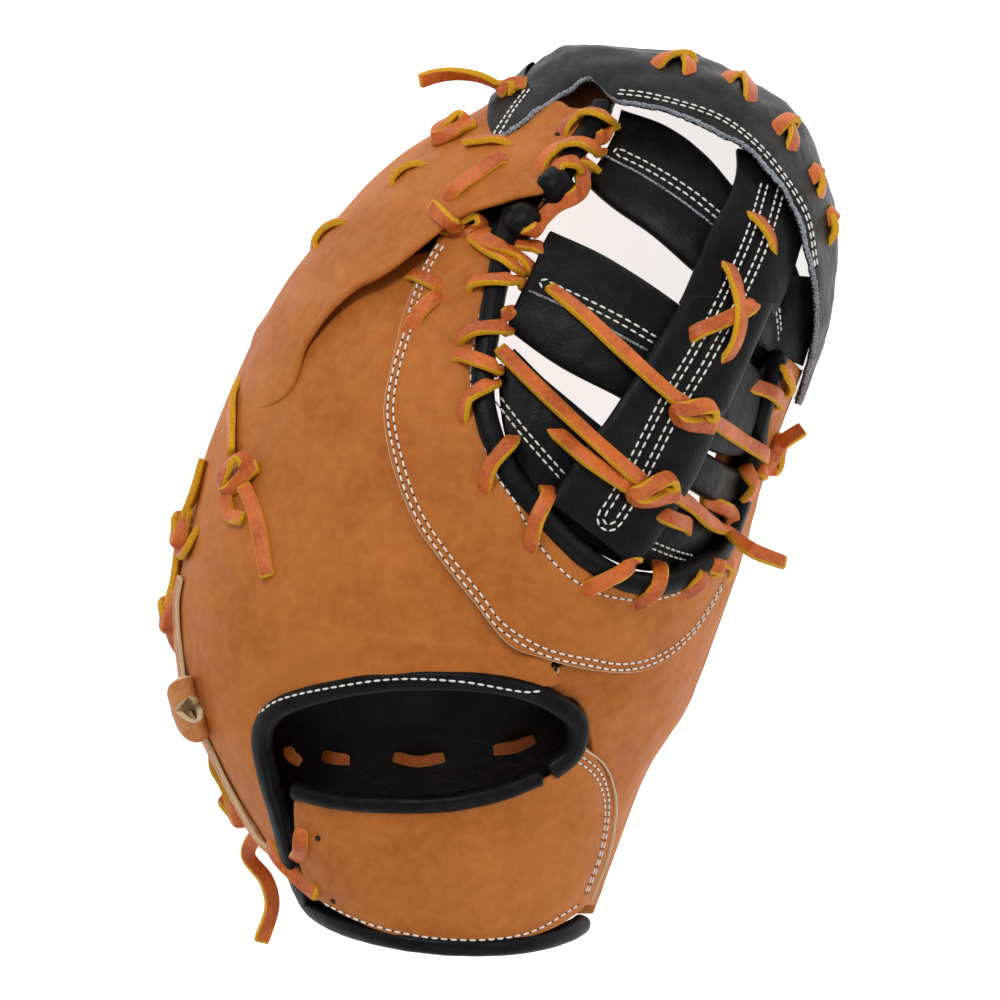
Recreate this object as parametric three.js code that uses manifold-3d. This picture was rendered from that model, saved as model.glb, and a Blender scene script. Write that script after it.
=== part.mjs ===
import * as THREE from "three";
import { mergeVertices } from "three/addons/utils/BufferGeometryUtils.js";
import Module from "manifold-3d";

// A first baseman's mitt for the left hand. It lies pocket down with its back up:
// X runs from the little finger's side to the thumb's side, Y from the heel to the
// finger tips, Z up from the surface it lies on. Lengths are in millimetres.

const wasm = await Module();
wasm.setup();

// Driving sizes
const LENGTH = 338;
const WIDTH = 248;
const DEPTH = 118;
const CLEARANCE = 0.4;
const LEATHER = 2.4;
const PALM_WALL = 3.2;
const RIM_THICKNESS = 14;
const HEEL_SPACE = 50;
const HAND_SPACE = 42;
const FINGER_SPACE = 24;
const ROLL_WIDTH = 7;
const ROLL_HEIGHT = 7;
const WELT_WIDTH = 8;
const WELT_HEIGHT = 8;
const LACE_WIDTH = 5.6;
const LACE_THICK = 2.2;
const BAR_HEIGHT = 8;
const BAR_WALL = 2;
const POST_HEIGHT = 7;
const KNOT_SIZE = 13;
const CENTRE_X = -0.5;
const CENTRE_Y = -2.5;

// The sight: tables of x and y are shares of a square VIEW wide, read straight down
// on the back from SIGHT_HEIGHT, with the square true to size at SIGHT_LEVEL.
const VIEW = 360;
const SIGHT_HEIGHT = 1800;
const SIGHT_LEVEL = 60;

const FOOT = PALM_WALL + CLEARANCE;
const FULLNESS = 0.9;

// Stations of the back from heel to finger tips. Rim places are shares of WIDTH and
// LENGTH, bow is how far the crest leads the rims, crown is a share of DEPTH and lean
// pushes the crest toward the thumb.
const STATIONS = [
  { leftX: -0.29, leftY: -0.44, rightX: 0.14, rightY: -0.455, bow: -0.035, crown: 0.56, lean: 0.05 },
  { leftX: -0.365, leftY: -0.36, rightX: 0.175, rightY: -0.385, bow: -0.03, crown: 0.66, lean: 0.08 },
  { leftX: -0.425, leftY: -0.285, rightX: 0.22, rightY: -0.3, bow: -0.02, crown: 0.76, lean: 0.12 },
  { leftX: -0.475, leftY: -0.205, rightX: 0.285, rightY: -0.22, bow: -0.01, crown: 0.87, lean: 0.18 },
  { leftX: -0.485, leftY: -0.115, rightX: 0.325, rightY: -0.145, bow: 0, crown: 0.95, lean: 0.25 },
  { leftX: -0.465, leftY: -0.02, rightX: 0.365, rightY: -0.06, bow: 0, crown: 1, lean: 0.32 },
  { leftX: -0.425, leftY: 0.08, rightX: 0.4, rightY: 0.035, bow: 0, crown: 1, lean: 0.4 },
  { leftX: -0.36, leftY: 0.19, rightX: 0.445, rightY: 0.125, bow: 0, crown: 0.96, lean: 0.5 },
  { leftX: -0.265, leftY: 0.29, rightX: 0.49, rightY: 0.215, bow: 0, crown: 0.86, lean: 0.55 },
  { leftX: -0.15, leftY: 0.375, rightX: 0.5, rightY: 0.29, bow: 0, crown: 0.74, lean: 0.5 },
  { leftX: -0.03, leftY: 0.43, rightX: 0.485, rightY: 0.355, bow: 0, crown: 0.58, lean: 0.4 },
  { leftX: 0.05, leftY: 0.475, rightX: 0.435, rightY: 0.425, bow: 0.005, crown: 0.38, lean: 0.2 },
  { leftX: 0.095, leftY: 0.5, rightX: 0.3, rightY: 0.49, bow: 0.005, crown: 0.14, lean: 0 },
];

// Colours of the leathers
const TAN = new THREE.MeshStandardMaterial({ color: 0xb87339, roughness: 0.62, metalness: 0 });
const BLACK = new THREE.MeshStandardMaterial({ color: 0x1d1f23, roughness: 0.5, metalness: 0 });
const LACING = new THREE.MeshStandardMaterial({ color: 0xc86a28, roughness: 0.6, metalness: 0 });

const smoothstep = THREE.MathUtils.smoothstep;
const clamp = THREE.MathUtils.clamp;

// A value of the stations at share v of the way from heel to tips, on a smooth curve
function blend(before, from, to, after, w) {
  const linear = (to - before) * w;
  const square = (2 * before - 5 * from + 4 * to - after) * w * w;
  const cube = (3 * from - before - 3 * to + after) * w * w * w;
  return 0.5 * (2 * from + linear + square + cube);
}

function station(v) {
  const last = STATIONS.length - 1;
  const place = clamp(v, 0, 1) * last;
  const index = Math.min(Math.floor(place), last - 1);
  const pick = (i) => STATIONS[clamp(i, 0, last)];
  const found = {};
  for (const key of Object.keys(STATIONS[0])) {
    const [before, from, to, after] = [-1, 0, 1, 2].map((step) => pick(index + step)[key]);
    found[key] = blend(before, from, to, after, place - index);
  }
  return found;
}

// A point of a dome over the stations: u runs from the left rim to the right rim
function dome(u, v, inset, room, foot) {
  const s = station(v);
  const angle = Math.PI * clamp(u, 0, 1);
  let across = (1 - Math.cos(angle)) / 2;
  across += s.lean * across * (1 - across);
  const left = s.leftX * WIDTH + inset;
  const right = s.rightX * WIDTH - inset;
  const crown = Math.max(s.crown * DEPTH - FOOT - room, 2);
  return new THREE.Vector3(
    left + (right - left) * across,
    (s.leftY + (s.rightY - s.leftY) * across + s.bow * Math.sin(angle)) * LENGTH,
    foot + crown * Math.sin(angle) ** FULLNESS,
  );
}

// The outer skin and the pocket's skin, and points lifted off them
const outer = (u, v) => dome(u, v, 0, 0, FOOT);

function pocket(u, v) {
  const heel = THREE.MathUtils.lerp(HEEL_SPACE, HAND_SPACE, smoothstep(v, 0, 0.25));
  const hand = THREE.MathUtils.lerp(heel, FINGER_SPACE, smoothstep(v, 0.25, 0.6));
  const most = THREE.MathUtils.lerp(0.85, 0.5, smoothstep(v, 0.3, 0.7));
  const room = Math.min(hand, most * station(v).crown * DEPTH);
  return dome(u, v, RIM_THICKNESS, room, 0);
}

function normalOf(surface, u, v) {
  const step = 0.004;
  const side = surface(Math.min(u + step, 1), v).sub(surface(Math.max(u - step, 0), v));
  const ahead = surface(u, Math.min(v + step, 1)).sub(surface(u, Math.max(v - step, 0)));
  return side.cross(ahead).normalize();
}

function lifted(surface, u, v, lift) {
  return surface(u, v).addScaledVector(normalOf(surface, u, v), lift);
}

// Where a height shows in the sight, and the skin's shares under a place of the sight
function sighted(x, y, z) {
  const scale = (VIEW * (SIGHT_HEIGHT - z)) / (SIGHT_HEIGHT - SIGHT_LEVEL);
  return new THREE.Vector3(x * scale, y * scale, z);
}

const COARSE = [];
for (let i = 0; i <= 40; i += 1) {
  for (let j = 0; j <= 40; j += 1) {
    COARSE.push({ u: i / 40, v: j / 40, point: outer(i / 40, j / 40) });
  }
}

function missOf(point, x, y) {
  const aim = sighted(x, y, point.z);
  return [aim.x - point.x, aim.y - point.y];
}

function seen(x, y, lift = 0) {
  const aimed = (u, v) => missOf(lifted(outer, u, v, lift), x, y);
  let best = null;
  let nearest = Infinity;
  for (const entry of COARSE) {
    const miss = Math.hypot(...missOf(entry.point, x, y));
    if (miss < nearest) {
      nearest = miss;
      best = entry;
    }
  }
  let { u, v } = best;
  let found = { u, v };
  for (let turn = 0; turn < 40; turn += 1) {
    const step = 1e-4;
    const [mx, my] = aimed(u, v);
    if (turn === 0 || Math.hypot(mx, my) < nearest) {
      nearest = Math.hypot(mx, my);
      found = { u, v };
    }
    const [ux, uy] = aimed(u + step, v);
    const [vx, vy] = aimed(u, v + step);
    const [a, b, c, d] = [(ux - mx) / step, (vx - mx) / step, (uy - my) / step, (vy - my) / step];
    const det = a * d - b * c;
    if (Math.abs(det) < 1) break;
    u = clamp(u - clamp((0.6 * (d * mx - b * my)) / det, -0.05, 0.05), 0, 1);
    v = clamp(v - clamp((0.6 * (a * my - c * mx)) / det, -0.05, 0.05), 0, 1);
  }
  return found;
}

// A list of (u, v) places joined by a smooth curve and cut into even steps
function smoothLine(places, steps, closed = false) {
  const points = places.map((p) => new THREE.Vector3(p.u, p.v, p.lift ?? 0));
  const curve = new THREE.CatmullRomCurve3(points, closed, "centripetal");
  const count = closed ? steps : steps + 1;
  return Array.from({ length: count }, (_, i) => {
    const p = curve.getPoint(i / steps);
    return { u: clamp(p.x, 0, 1), v: clamp(p.y, 0, 1), lift: p.z };
  });
}

// A closed solid from a list of vertices and triangles
function solidFrom(vertices, triangles) {
  let volume = 0;
  for (const [a, b, c] of triangles) {
    volume += vertices[a].dot(new THREE.Vector3().crossVectors(vertices[b], vertices[c]));
  }
  const faces = volume < 0 ? triangles.map(([a, b, c]) => [a, c, b]) : triangles;
  return new wasm.Manifold(new wasm.Mesh({
    numProp: 3,
    vertProperties: new Float32Array(vertices.flatMap((p) => [p.x, p.y, p.z])),
    triVerts: new Uint32Array(faces.flat()),
  }));
}

// A solid through a row of rings. Each ring holds the same even number of points, and
// point i faces point (count - 1 - i) across the section, which closes both ends.
function loft(rings, closed = false) {
  const count = rings[0].length;
  const triangles = [];
  const spans = closed ? rings.length : rings.length - 1;
  for (let r = 0; r < spans; r += 1) {
    const near = r * count;
    const far = ((r + 1) % rings.length) * count;
    for (let i = 0; i < count; i += 1) {
      const j = (i + 1) % count;
      triangles.push([near + i, near + j, far + j]);
      triangles.push([near + i, far + j, far + i]);
    }
  }
  if (!closed) {
    const end = (rings.length - 1) * count;
    for (let i = 0; i < count / 2 - 1; i += 1) {
      const [a, b, c, d] = [i, i + 1, count - 2 - i, count - 1 - i];
      triangles.push([a, c, b], [a, d, c]);
      triangles.push([end + a, end + b, end + c], [end + a, end + c, end + d]);
    }
  }
  return solidFrom(rings.flat(), triangles);
}

// A leather panel between two lines on the skin. Its outer face goes from the first
// line's lift to the second's, sooner where fade is higher.
function panel(pairs, { across, along, thick = LEATHER, fade = 1, foot = null }) {
  const left = smoothLine(pairs.map((pair) => pair[0]), along);
  const right = smoothLine(pairs.map((pair) => pair[1]), along);
  const rings = left.map((from, i) => {
    const to = right[i];
    const upper = [];
    const under = [];
    for (let k = 0; k <= across; k += 1) {
      const u = from.u + ((to.u - from.u) * k) / across;
      const v = from.v + ((to.v - from.v) * k) / across;
      const height = to.lift + (from.lift - to.lift) * (1 - k / across) ** fade;
      upper.push(lifted(outer, u, v, height));
      under.push(lifted(outer, u, v, height - thick));
    }
    if (foot !== null && to.u > 0.9) {
      const ends = [upper[across], under[across]];
      ends.forEach((p) => p.setZ(foot));
    }
    return [...upper, ...under.reverse()];
  });
  return loft(rings);
}

// A frame along a line: its points, the skin's direction there and the side direction
function framesOf(points, normals, closed = false) {
  const last = points.length - 1;
  return points.map((point, i) => {
    const after = points[closed ? (i + 1) % points.length : Math.min(i + 1, last)];
    const before = points[closed ? (i + last) % points.length : Math.max(i - 1, 0)];
    const ahead = after.clone().sub(before).normalize();
    const side = new THREE.Vector3().crossVectors(ahead, normals[i]).normalize();
    const up = new THREE.Vector3().crossVectors(side, ahead).normalize();
    const end = closed ? 0 : Number(i === last) - Number(i === 0);
    return { point, side, up, ahead, end };
  });
}

// A roll of leather: an oval bar along a line, a little grown where it cuts its bed
function roll(frames, width, height, { grow = 0, sides = 8, closed = false, lift = 0 } = {}) {
  const rings = frames.map(({ point, side, up, ahead, end }) => {
    const ring = [];
    for (let k = 0; k < sides; k += 1) {
      const angle = ((k + 0.5) / sides) * 2 * Math.PI;
      ring.push(point.clone()
        .addScaledVector(ahead, end * grow)
        .addScaledVector(side, (width / 2 + grow) * Math.cos(angle))
        .addScaledVector(up, lift + (height / 2 + grow) * Math.sin(angle)));
    }
    return ring;
  });
  return loft(rings, closed);
}

// A flat lace whose underside follows a line
function strap(frames, { width = LACE_WIDTH, thick = LACE_THICK, grow = 0 } = {}) {
  const rings = frames.map(({ point, side, up, ahead, end }) => [
    [-1, 0], [-1, 1], [1, 1], [1, 0],
  ].map(([across, high]) => point.clone()
    .addScaledVector(ahead, end * grow)
    .addScaledVector(side, across * (width / 2 + grow))
    .addScaledVector(up, high ? thick + grow : -grow)));
  return loft(rings);
}

// Places from rows of the tables. A row is x, y and lift in the sight.
const place = ([x, y, lift = 0]) => ({ ...seen(x, y, lift), lift });

function skinFrames(rows, steps, closed = false) {
  const line = smoothLine(rows.map((row) => (Array.isArray(row) ? place(row) : row)), steps, closed);
  const points = line.map((p) => lifted(outer, p.u, p.v, p.lift));
  const normals = line.map((p) => normalOf(outer, p.u, p.v));
  return framesOf(points, normals, closed);
}

// A lace's line in space. A row of three is x, y and lift off the skin. A row of four is
// x, y and height above the surface, with a lean outward. An object holds skin shares.
function laceFrames(rows, steps) {
  const points = [];
  const normals = [];
  for (const row of rows) {
    if (row.length === 4) {
      const [x, y, high, out] = row;
      points.push(sighted(x, y, high));
      normals.push(new THREE.Vector3(out, 0, 1).normalize());
    } else {
      const { u, v, lift } = Array.isArray(row) ? place(row) : row;
      points.push(lifted(outer, u, v, lift));
      normals.push(normalOf(outer, u, v));
    }
  }
  const run = new THREE.CatmullRomCurve3(points, false, "centripetal");
  const facing = new THREE.CatmullRomCurve3(normals, false, "centripetal");
  const line = Array.from({ length: steps + 1 }, (_, i) => run.getPoint(i / steps));
  return framesOf(line, line.map((_, i) => facing.getPoint(i / steps).normalize()));
}

function joined(solids) {
  return solids.reduce((whole, solid) => whole.add(solid));
}

function carved(solid, cutters) {
  const cut = cutters.reduce((whole, cutter) => whole.subtract(cutter), solid);
  const bodies = cut.decompose();
  bodies.sort((a, b) => b.volume() - a.volume());
  return bodies[0];
}

// A tight knot: a rounded lump turned so that its long side follows a direction
function lump(centre, along, up, [length, width, height]) {
  const ball = new THREE.SphereGeometry(0.5, 7, 5);
  ball.deleteAttribute("normal");
  ball.deleteAttribute("uv");
  const side = new THREE.Vector3().crossVectors(up, along).normalize();
  const top = new THREE.Vector3().crossVectors(along, side).normalize();
  const turn = new THREE.Matrix4().makeBasis(along, side, top);
  ball.scale(length, width, height).applyMatrix4(turn).translate(centre.x, centre.y, centre.z);
  const merged = mergeVertices(ball, 1e-4);
  return new wasm.Manifold(new wasm.Mesh({
    numProp: 3,
    vertProperties: merged.attributes.position.array,
    triVerts: new Uint32Array(merged.index.array),
  }));
}

function knotAt(spot, toward, size, height) {
  const { u, v, lift } = Array.isArray(spot) ? place(spot) : spot;
  const up = normalOf(outer, u, v);
  const centre = lifted(outer, u, v, lift + height / 2);
  const along = new THREE.Vector3(...toward, 0);
  along.addScaledVector(up, -along.dot(up)).normalize();
  return lump(centre, along, up, [size, size * 0.8, height]);
}

const mitt = new THREE.Group();
mitt.name = "first_baseman_mitt";
mitt.position.set(CENTRE_X, CENTRE_Y, 0);

function addPiece(name, solid, material) {
  const mesh = solid.getMesh();
  const geometry = new THREE.BufferGeometry();
  geometry.setAttribute("position", new THREE.BufferAttribute(new Float32Array(mesh.vertProperties), 3));
  geometry.setIndex(Array.from(mesh.triVerts));
  geometry.computeVertexNormals();
  const piece = new THREE.Mesh(geometry, material);
  piece.name = name;
  mitt.add(piece);
}

// Rows that pair a rim share with a place of the sight
const fromLeftRim = (rows) => rows.map(([v, x, y]) => [{ u: 0, v }, place([x, y])]);
const toRightRim = (rows) => rows.map(([x, y, v]) => [place([x, y]), { u: 1, v }]);
const between = (rows, lift = 0) => rows.map(([x, y, toX, toY]) => [
  place([x, y, lift]),
  place([toX, toY, lift]),
]);

// Black rolls round the back opening and on the strap's edges
const OPENING_ROLL = [
  [-0.197, -0.405, -2], [-0.205, -0.37, -2], [-0.219, -0.322, -2], [-0.232, -0.276, -2],
  [-0.238, -0.238, -2], [-0.226, -0.212, -2], [-0.16, -0.188, -2], [-0.1, -0.18, -2],
  [-0.035, -0.18, -2], [0.02, -0.188, -2], [0.056, -0.203, -2], [0.078, -0.226, -2],
  [0.072, -0.252, -2], [0.05, -0.271, -2],
];
const STRAP_TOP_ROLL = [
  [-0.205, -0.29, -2], [-0.165, -0.3, -2], [-0.108, -0.304, -2], [-0.048, -0.302, -2],
  [0.005, -0.29, -2], [0.04, -0.276, -2],
];
const openingFrames = skinFrames(OPENING_ROLL, 28);
const strapTopFrames = skinFrames(STRAP_TOP_ROLL, 12);
const heelFrames = framesOf(
  Array.from({ length: 15 }, (_, i) => lifted(outer, 0.1 + (0.78 * i) / 14, 0.012, -2)),
  Array.from({ length: 15 }, (_, i) => normalOf(outer, 0.1 + (0.78 * i) / 14, 0.012)),
);
const openingCut = roll(openingFrames, ROLL_WIDTH, ROLL_HEIGHT, { grow: CLEARANCE });
const strapTopCut = roll(strapTopFrames, ROLL_WIDTH - 1, ROLL_HEIGHT, { grow: CLEARANCE });
const heelCut = roll(heelFrames, ROLL_WIDTH, ROLL_HEIGHT, { grow: CLEARANCE });
addPiece("opening_binding", roll(openingFrames, ROLL_WIDTH, ROLL_HEIGHT), BLACK);
addPiece(
  "strap_binding_top",
  carved(roll(strapTopFrames, ROLL_WIDTH - 1, ROLL_HEIGHT), [openingCut]),
  BLACK,
);
addPiece("strap_binding_bottom", carved(roll(heelFrames, ROLL_WIDTH, ROLL_HEIGHT), [openingCut]), BLACK);

// The padded roll round the web's seat, in two lengths with the fold between them
const WELT_TIP = [
  [0.102, 0.393, -2], [0.088, 0.368, -2], [0.07, 0.34, -2], [0.055, 0.313, -1],
];
const WELT = [
  [0.023, 0.282, -1], [0.004, 0.258, -2], [-0.005, 0.207, -2], [-0.012, 0.165, -2],
  [-0.017, 0.127, -2], [-0.015, 0.09, -2], [0.009, 0.027, -2], [0.054, -0.028, -2],
  [0.088, -0.059, -2], [0.122, -0.079, -2], [0.147, -0.084, -2], [0.202, -0.069, -2],
  [0.228, -0.05, -2], [0.243, -0.02, -2], [0.252, 0.01, -2], [0.262, 0.045, -2],
  [0.274, 0.1, -2], [0.288, 0.145, -2],
];
const weltTipFrames = skinFrames(WELT_TIP, 6);
const weltFrames = skinFrames(WELT, 32);
const weltTipCut = roll(weltTipFrames, WELT_WIDTH, WELT_HEIGHT, { grow: CLEARANCE });
const weltCut = roll(weltFrames, WELT_WIDTH, WELT_HEIGHT, { grow: CLEARANCE });
addPiece("web_welt_tip", roll(weltTipFrames, WELT_WIDTH, WELT_HEIGHT), BLACK);
addPiece("web_welt", roll(weltFrames, WELT_WIDTH, WELT_HEIGHT), BLACK);

// Black wall behind the welt, from the roll down to the pocket's leather
function wallAlong(line, half) {
  const points = line.map(({ u, v }) => lifted(outer, u, v, -2 - WELT_HEIGHT / 2 - CLEARANCE));
  const normals = line.map(({ u, v }) => normalOf(outer, u, v));
  return loft(framesOf(points, normals).map(({ point, side }, i) => {
    const { u, v } = line[i];
    const foot = lifted(pocket, u, v, PALM_WALL + CLEARANCE);
    return [
      point.clone().addScaledVector(side, -half),
      foot.clone().addScaledVector(side, -half),
      foot.clone().addScaledVector(side, half),
      point.clone().addScaledVector(side, half),
    ];
  }));
}

const weltLine = smoothLine([...WELT_TIP, ...WELT].map((row) => place(row)), 32);
const wallCut = wallAlong(weltLine, 1.2 + CLEARANCE);
addPiece("web_wall", wallAlong(weltLine, 0.8), BLACK);

// Finger back: the panel beside the little finger, tucked under the collar, and the
// fingers' part that folds over it. Rows are a share of the left rim, then x, y, lift.
const TUCK = -LEATHER - CLEARANCE - 0.2;
const FINGER_LOWER = [
  [0.02, -0.2, -0.4, 0], [0.085, -0.226, -0.322, 0], [0.14, -0.238, -0.276, 0],
  [0.19, -0.243, -0.232, 0], [0.22, -0.232, -0.208, 0], [0.245, -0.165, -0.184, 0],
  [0.27, -0.103, -0.176, 0], [0.3, -0.035, -0.176, 0], [0.325, 0.03, -0.186, 0],
  [0.35, 0.052, -0.165, -1], [0.362, 0.03, -0.143, TUCK], [0.375, 0, -0.13, TUCK], [0.4, -0.015, -0.097, TUCK],
  [0.42, -0.05, -0.053, TUCK], [0.45, -0.074, -0.017, TUCK], [0.48, -0.096, 0.045, TUCK],
  [0.505, -0.1, 0.1, TUCK], [0.525, -0.095, 0.14, TUCK], [0.545, -0.08, 0.205, TUCK],
  [0.565, -0.052, 0.256, TUCK],
];
// Rows are x, y and lift along the fold, then a share of the left rim
const FINGER_UPPER = [
  [-0.278, 0.072, 0.2, 0.475], [-0.226, 0.098, 1.5, 0.555], [-0.194, 0.16, 4, 0.605],
  [-0.15, 0.21, 6, 0.65], [-0.1, 0.24, 6, 0.7], [-0.044, 0.284, 6, 0.755],
  [0, 0.299, 5.5, 0.8], [0.037, 0.308, 4.5, 0.825],
];
// Rows are x, y and lift along the fold and the welt, then x and y along the hood
const FINGER_TIP = [
  [0.044, 0.312, 3, 0.003, 0.362], [0.05, 0.32, 1.5, 0.037, 0.386], [0.066, 0.34, 0.5, 0.065, 0.403],
  [0.088, 0.375, 0, 0.089, 0.414], [0.1, 0.393, 0, 0.103, 0.404],
];
const lowerPairs = FINGER_LOWER.map(([v, x, y, lift]) => [{ u: 0, v }, place([x, y, lift])]);
const upperPairs = [
  ...FINGER_UPPER.map(([x, y, lift, v]) => [place([x, y, lift]), { u: 0, v, lift: 0.2 }]),
  ...FINGER_TIP.map(([x, y, lift, toX, toY]) => [place([x, y, lift]), place([toX, toY, 0])]),
];
const fingerBack = joined([
  panel(lowerPairs, { across: 8, along: 21 }),
  panel(upperPairs, { across: 5, along: 19, fade: 2.2 }),
]);

// Black lining that shows in the fold's slit
const FOLD_ROWS = [
  [-0.1, 0.24, -0.075, 0.215], [-0.044, 0.286, -0.03, 0.24], [-0.01, 0.3, -0.004, 0.257],
];
const foldLining = panel(between(FOLD_ROWS, -5.8), { across: 2, along: 4, thick: 1.4 });

// Thumb back: from the heel up to the thumb tip, tucked under its neighbours' edges
const THUMB = [
  [0.083, -0.405, 0.02], [0.092, -0.37, 0.05], [0.098, -0.335, 0.085], [0.097, -0.295, 0.12],
  [0.092, -0.262, 0.15], [0.09, -0.235, 0.185], [0.078, -0.203, 0.215], [0.042, -0.186, 0.24],
  [0.06, -0.168, 0.265], [0.09, -0.15, 0.285], [0.143, -0.148, 0.31], [0.185, -0.128, 0.34],
  [0.208, -0.095, 0.37], [0.225, -0.052, 0.41], [0.243, -0.02, 0.445], [0.252, 0.01, 0.475],
  [0.262, 0.045, 0.505], [0.274, 0.1, 0.55], [0.288, 0.145, 0.59],
];
const thumbPairs = THUMB.map(([x, y, v]) => [place([x, y, TUCK - 0.5]), { u: 1, v, lift: 0 }]);
const thumbBack = panel(thumbPairs, { across: 4, along: 20 });

// Web collar: the crescent sewn over both back panels
const COLLAR = [
  [-0.054, 0.264, 0.004, 0.262], [-0.083, 0.205, -0.005, 0.207], [-0.102, 0.13, -0.017, 0.127],
  [-0.109, 0.09, -0.015, 0.09], [-0.08, -0.017, 0.009, 0.027], [-0.056, -0.053, 0.03, -0.003],
  [-0.021, -0.097, 0.054, -0.028], [0.015, -0.14, 0.088, -0.059], [0.045, -0.152, 0.105, -0.07],
  [0.093, -0.163, 0.122, -0.079], [0.143, -0.164, 0.147, -0.084], [0.18, -0.145, 0.185, -0.076],
  [0.209, -0.108, 0.214, -0.061], [0.226, -0.082, 0.235, -0.04],
];
const webCollar = panel(between(COLLAR), { across: 3, along: 22 });

// Wrist strap: its right end is sewn over the thumb's panel
const STRAP = [
  [-0.206, -0.3, -0.187, -0.398], [-0.165, -0.302, -0.155, -0.418], [-0.108, -0.306, -0.1, -0.438],
  [-0.048, -0.304, -0.035, -0.446], [0.018, -0.292, 0.025, -0.44], [0.056, -0.275, 0.07, -0.42],
  [0.08, -0.248, 0.09, -0.4], [0.099, -0.262, 0.1, -0.375], [0.111, -0.292, 0.111, -0.33],
];
const wristStrap = panel(between(STRAP), { across: 5, along: 14 });

addPiece("finger_back", carved(fingerBack, [openingCut, weltCut, weltTipCut]), TAN);
addPiece("fold_lining", carved(foldLining, [weltCut, weltTipCut, wallCut]), BLACK);
addPiece("thumb_back", carved(thumbBack, [openingCut, weltCut, heelCut]), TAN);
addPiece("web_collar", carved(webCollar, [weltCut]), TAN);
addPiece("wrist_strap", carved(wristStrap, [openingCut, strapTopCut, heelCut]), TAN);

// Palm shell: the pocket's leather, turned out flat at the rim where the mitt rests
function palmRing(v, from, to, leftLip, rightLip, across) {
  const upper = [];
  const under = [];
  for (let k = 0; k <= across; k += 1) {
    const u = from + ((to - from) * k) / across;
    under.push(pocket(u, v));
    upper.push(lifted(pocket, u, v, PALM_WALL));
  }
  if (leftLip) {
    upper[0].setZ(PALM_WALL);
    under[0].setZ(0);
    const edge = dome(0, v, 0, 0, 0);
    upper.unshift(edge.clone().setZ(PALM_WALL));
    under.unshift(edge);
  }
  if (rightLip) {
    upper[upper.length - 1].setZ(PALM_WALL);
    under[under.length - 1].setZ(0);
    const edge = dome(1, v, 0, 0, 0);
    upper.push(edge.clone().setZ(PALM_WALL));
    under.push(edge);
  }
  return [...upper, ...under.reverse()];
}

// Palm rows: share up the mitt, and the share across where the leather ends.
// The heel and the tip are nodes of their own, a clearance short of the hand's part.
const PALM_GAP = CLEARANCE / LENGTH;
const HEEL_TOP = 0.13;
const TIP_FOOT = 0.73;
const PALM_HEEL = [[0, 1], [0.065, 1], [HEEL_TOP - PALM_GAP, 1]];
const PALM_HAND = [[HEEL_TOP, 1], [0.18, 1], [0.24, 1], [0.32, 1], [0.375, 1]];
const PALM_FINGERS = [
  [0.35, 0.62], [0.4, 0.59], [0.44, 0.52], [0.48, 0.455], [0.53, 0.405], [0.57, 0.38],
  [0.63, 0.35], [0.68, 0.328], [TIP_FOOT - PALM_GAP, 0.335],
];
const PALM_TIP = [
  [TIP_FOOT, 0.335], [0.79, 0.335], [0.84, 0.33], [0.88, 0.32], [0.93, 0.3], [0.97, 0.28],
];
const PALM_THUMB = [
  [0.35, 0.76], [0.4, 0.785], [0.44, 0.845], [0.48, 0.835], [0.52, 0.82], [0.56, 0.79],
  [0.6, 0.785],
];
const palmShell = joined([
  loft(PALM_HAND.map(([v, to]) => palmRing(v, 0, to, true, true, 12))),
  loft(PALM_FINGERS.map(([v, to]) => palmRing(v, 0, to, true, false, 6))),
  loft(PALM_THUMB.map(([v, from]) => palmRing(v, from, 1, false, true, 4))),
]);
addPiece("palm_heel", loft(PALM_HEEL.map(([v, to]) => palmRing(v, 0, to, true, true, 12))), TAN);
addPiece("palm_shell", palmShell, TAN);
addPiece("palm_tip", loft(PALM_TIP.map(([v, to]) => palmRing(v, 0, to, true, false, 6))), TAN);

// Lining: black leather on the palm's inner side, under the back opening
const LINING_ROWS = [0.04, 0.08, 0.16, 0.24, 0.32, 0.35];
const liningRings = LINING_ROWS.map((v) => {
  const upper = [];
  const under = [];
  for (let k = 2; k <= 10; k += 1) {
    const u = k / 12;
    under.push(lifted(pocket, u, v, PALM_WALL + CLEARANCE));
    upper.push(lifted(pocket, u, v, PALM_WALL + CLEARANCE + 1.4));
  }
  return [...upper, ...under.reverse()];
});
addPiece("palm_lining", loft(liningRings), BLACK);

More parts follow.
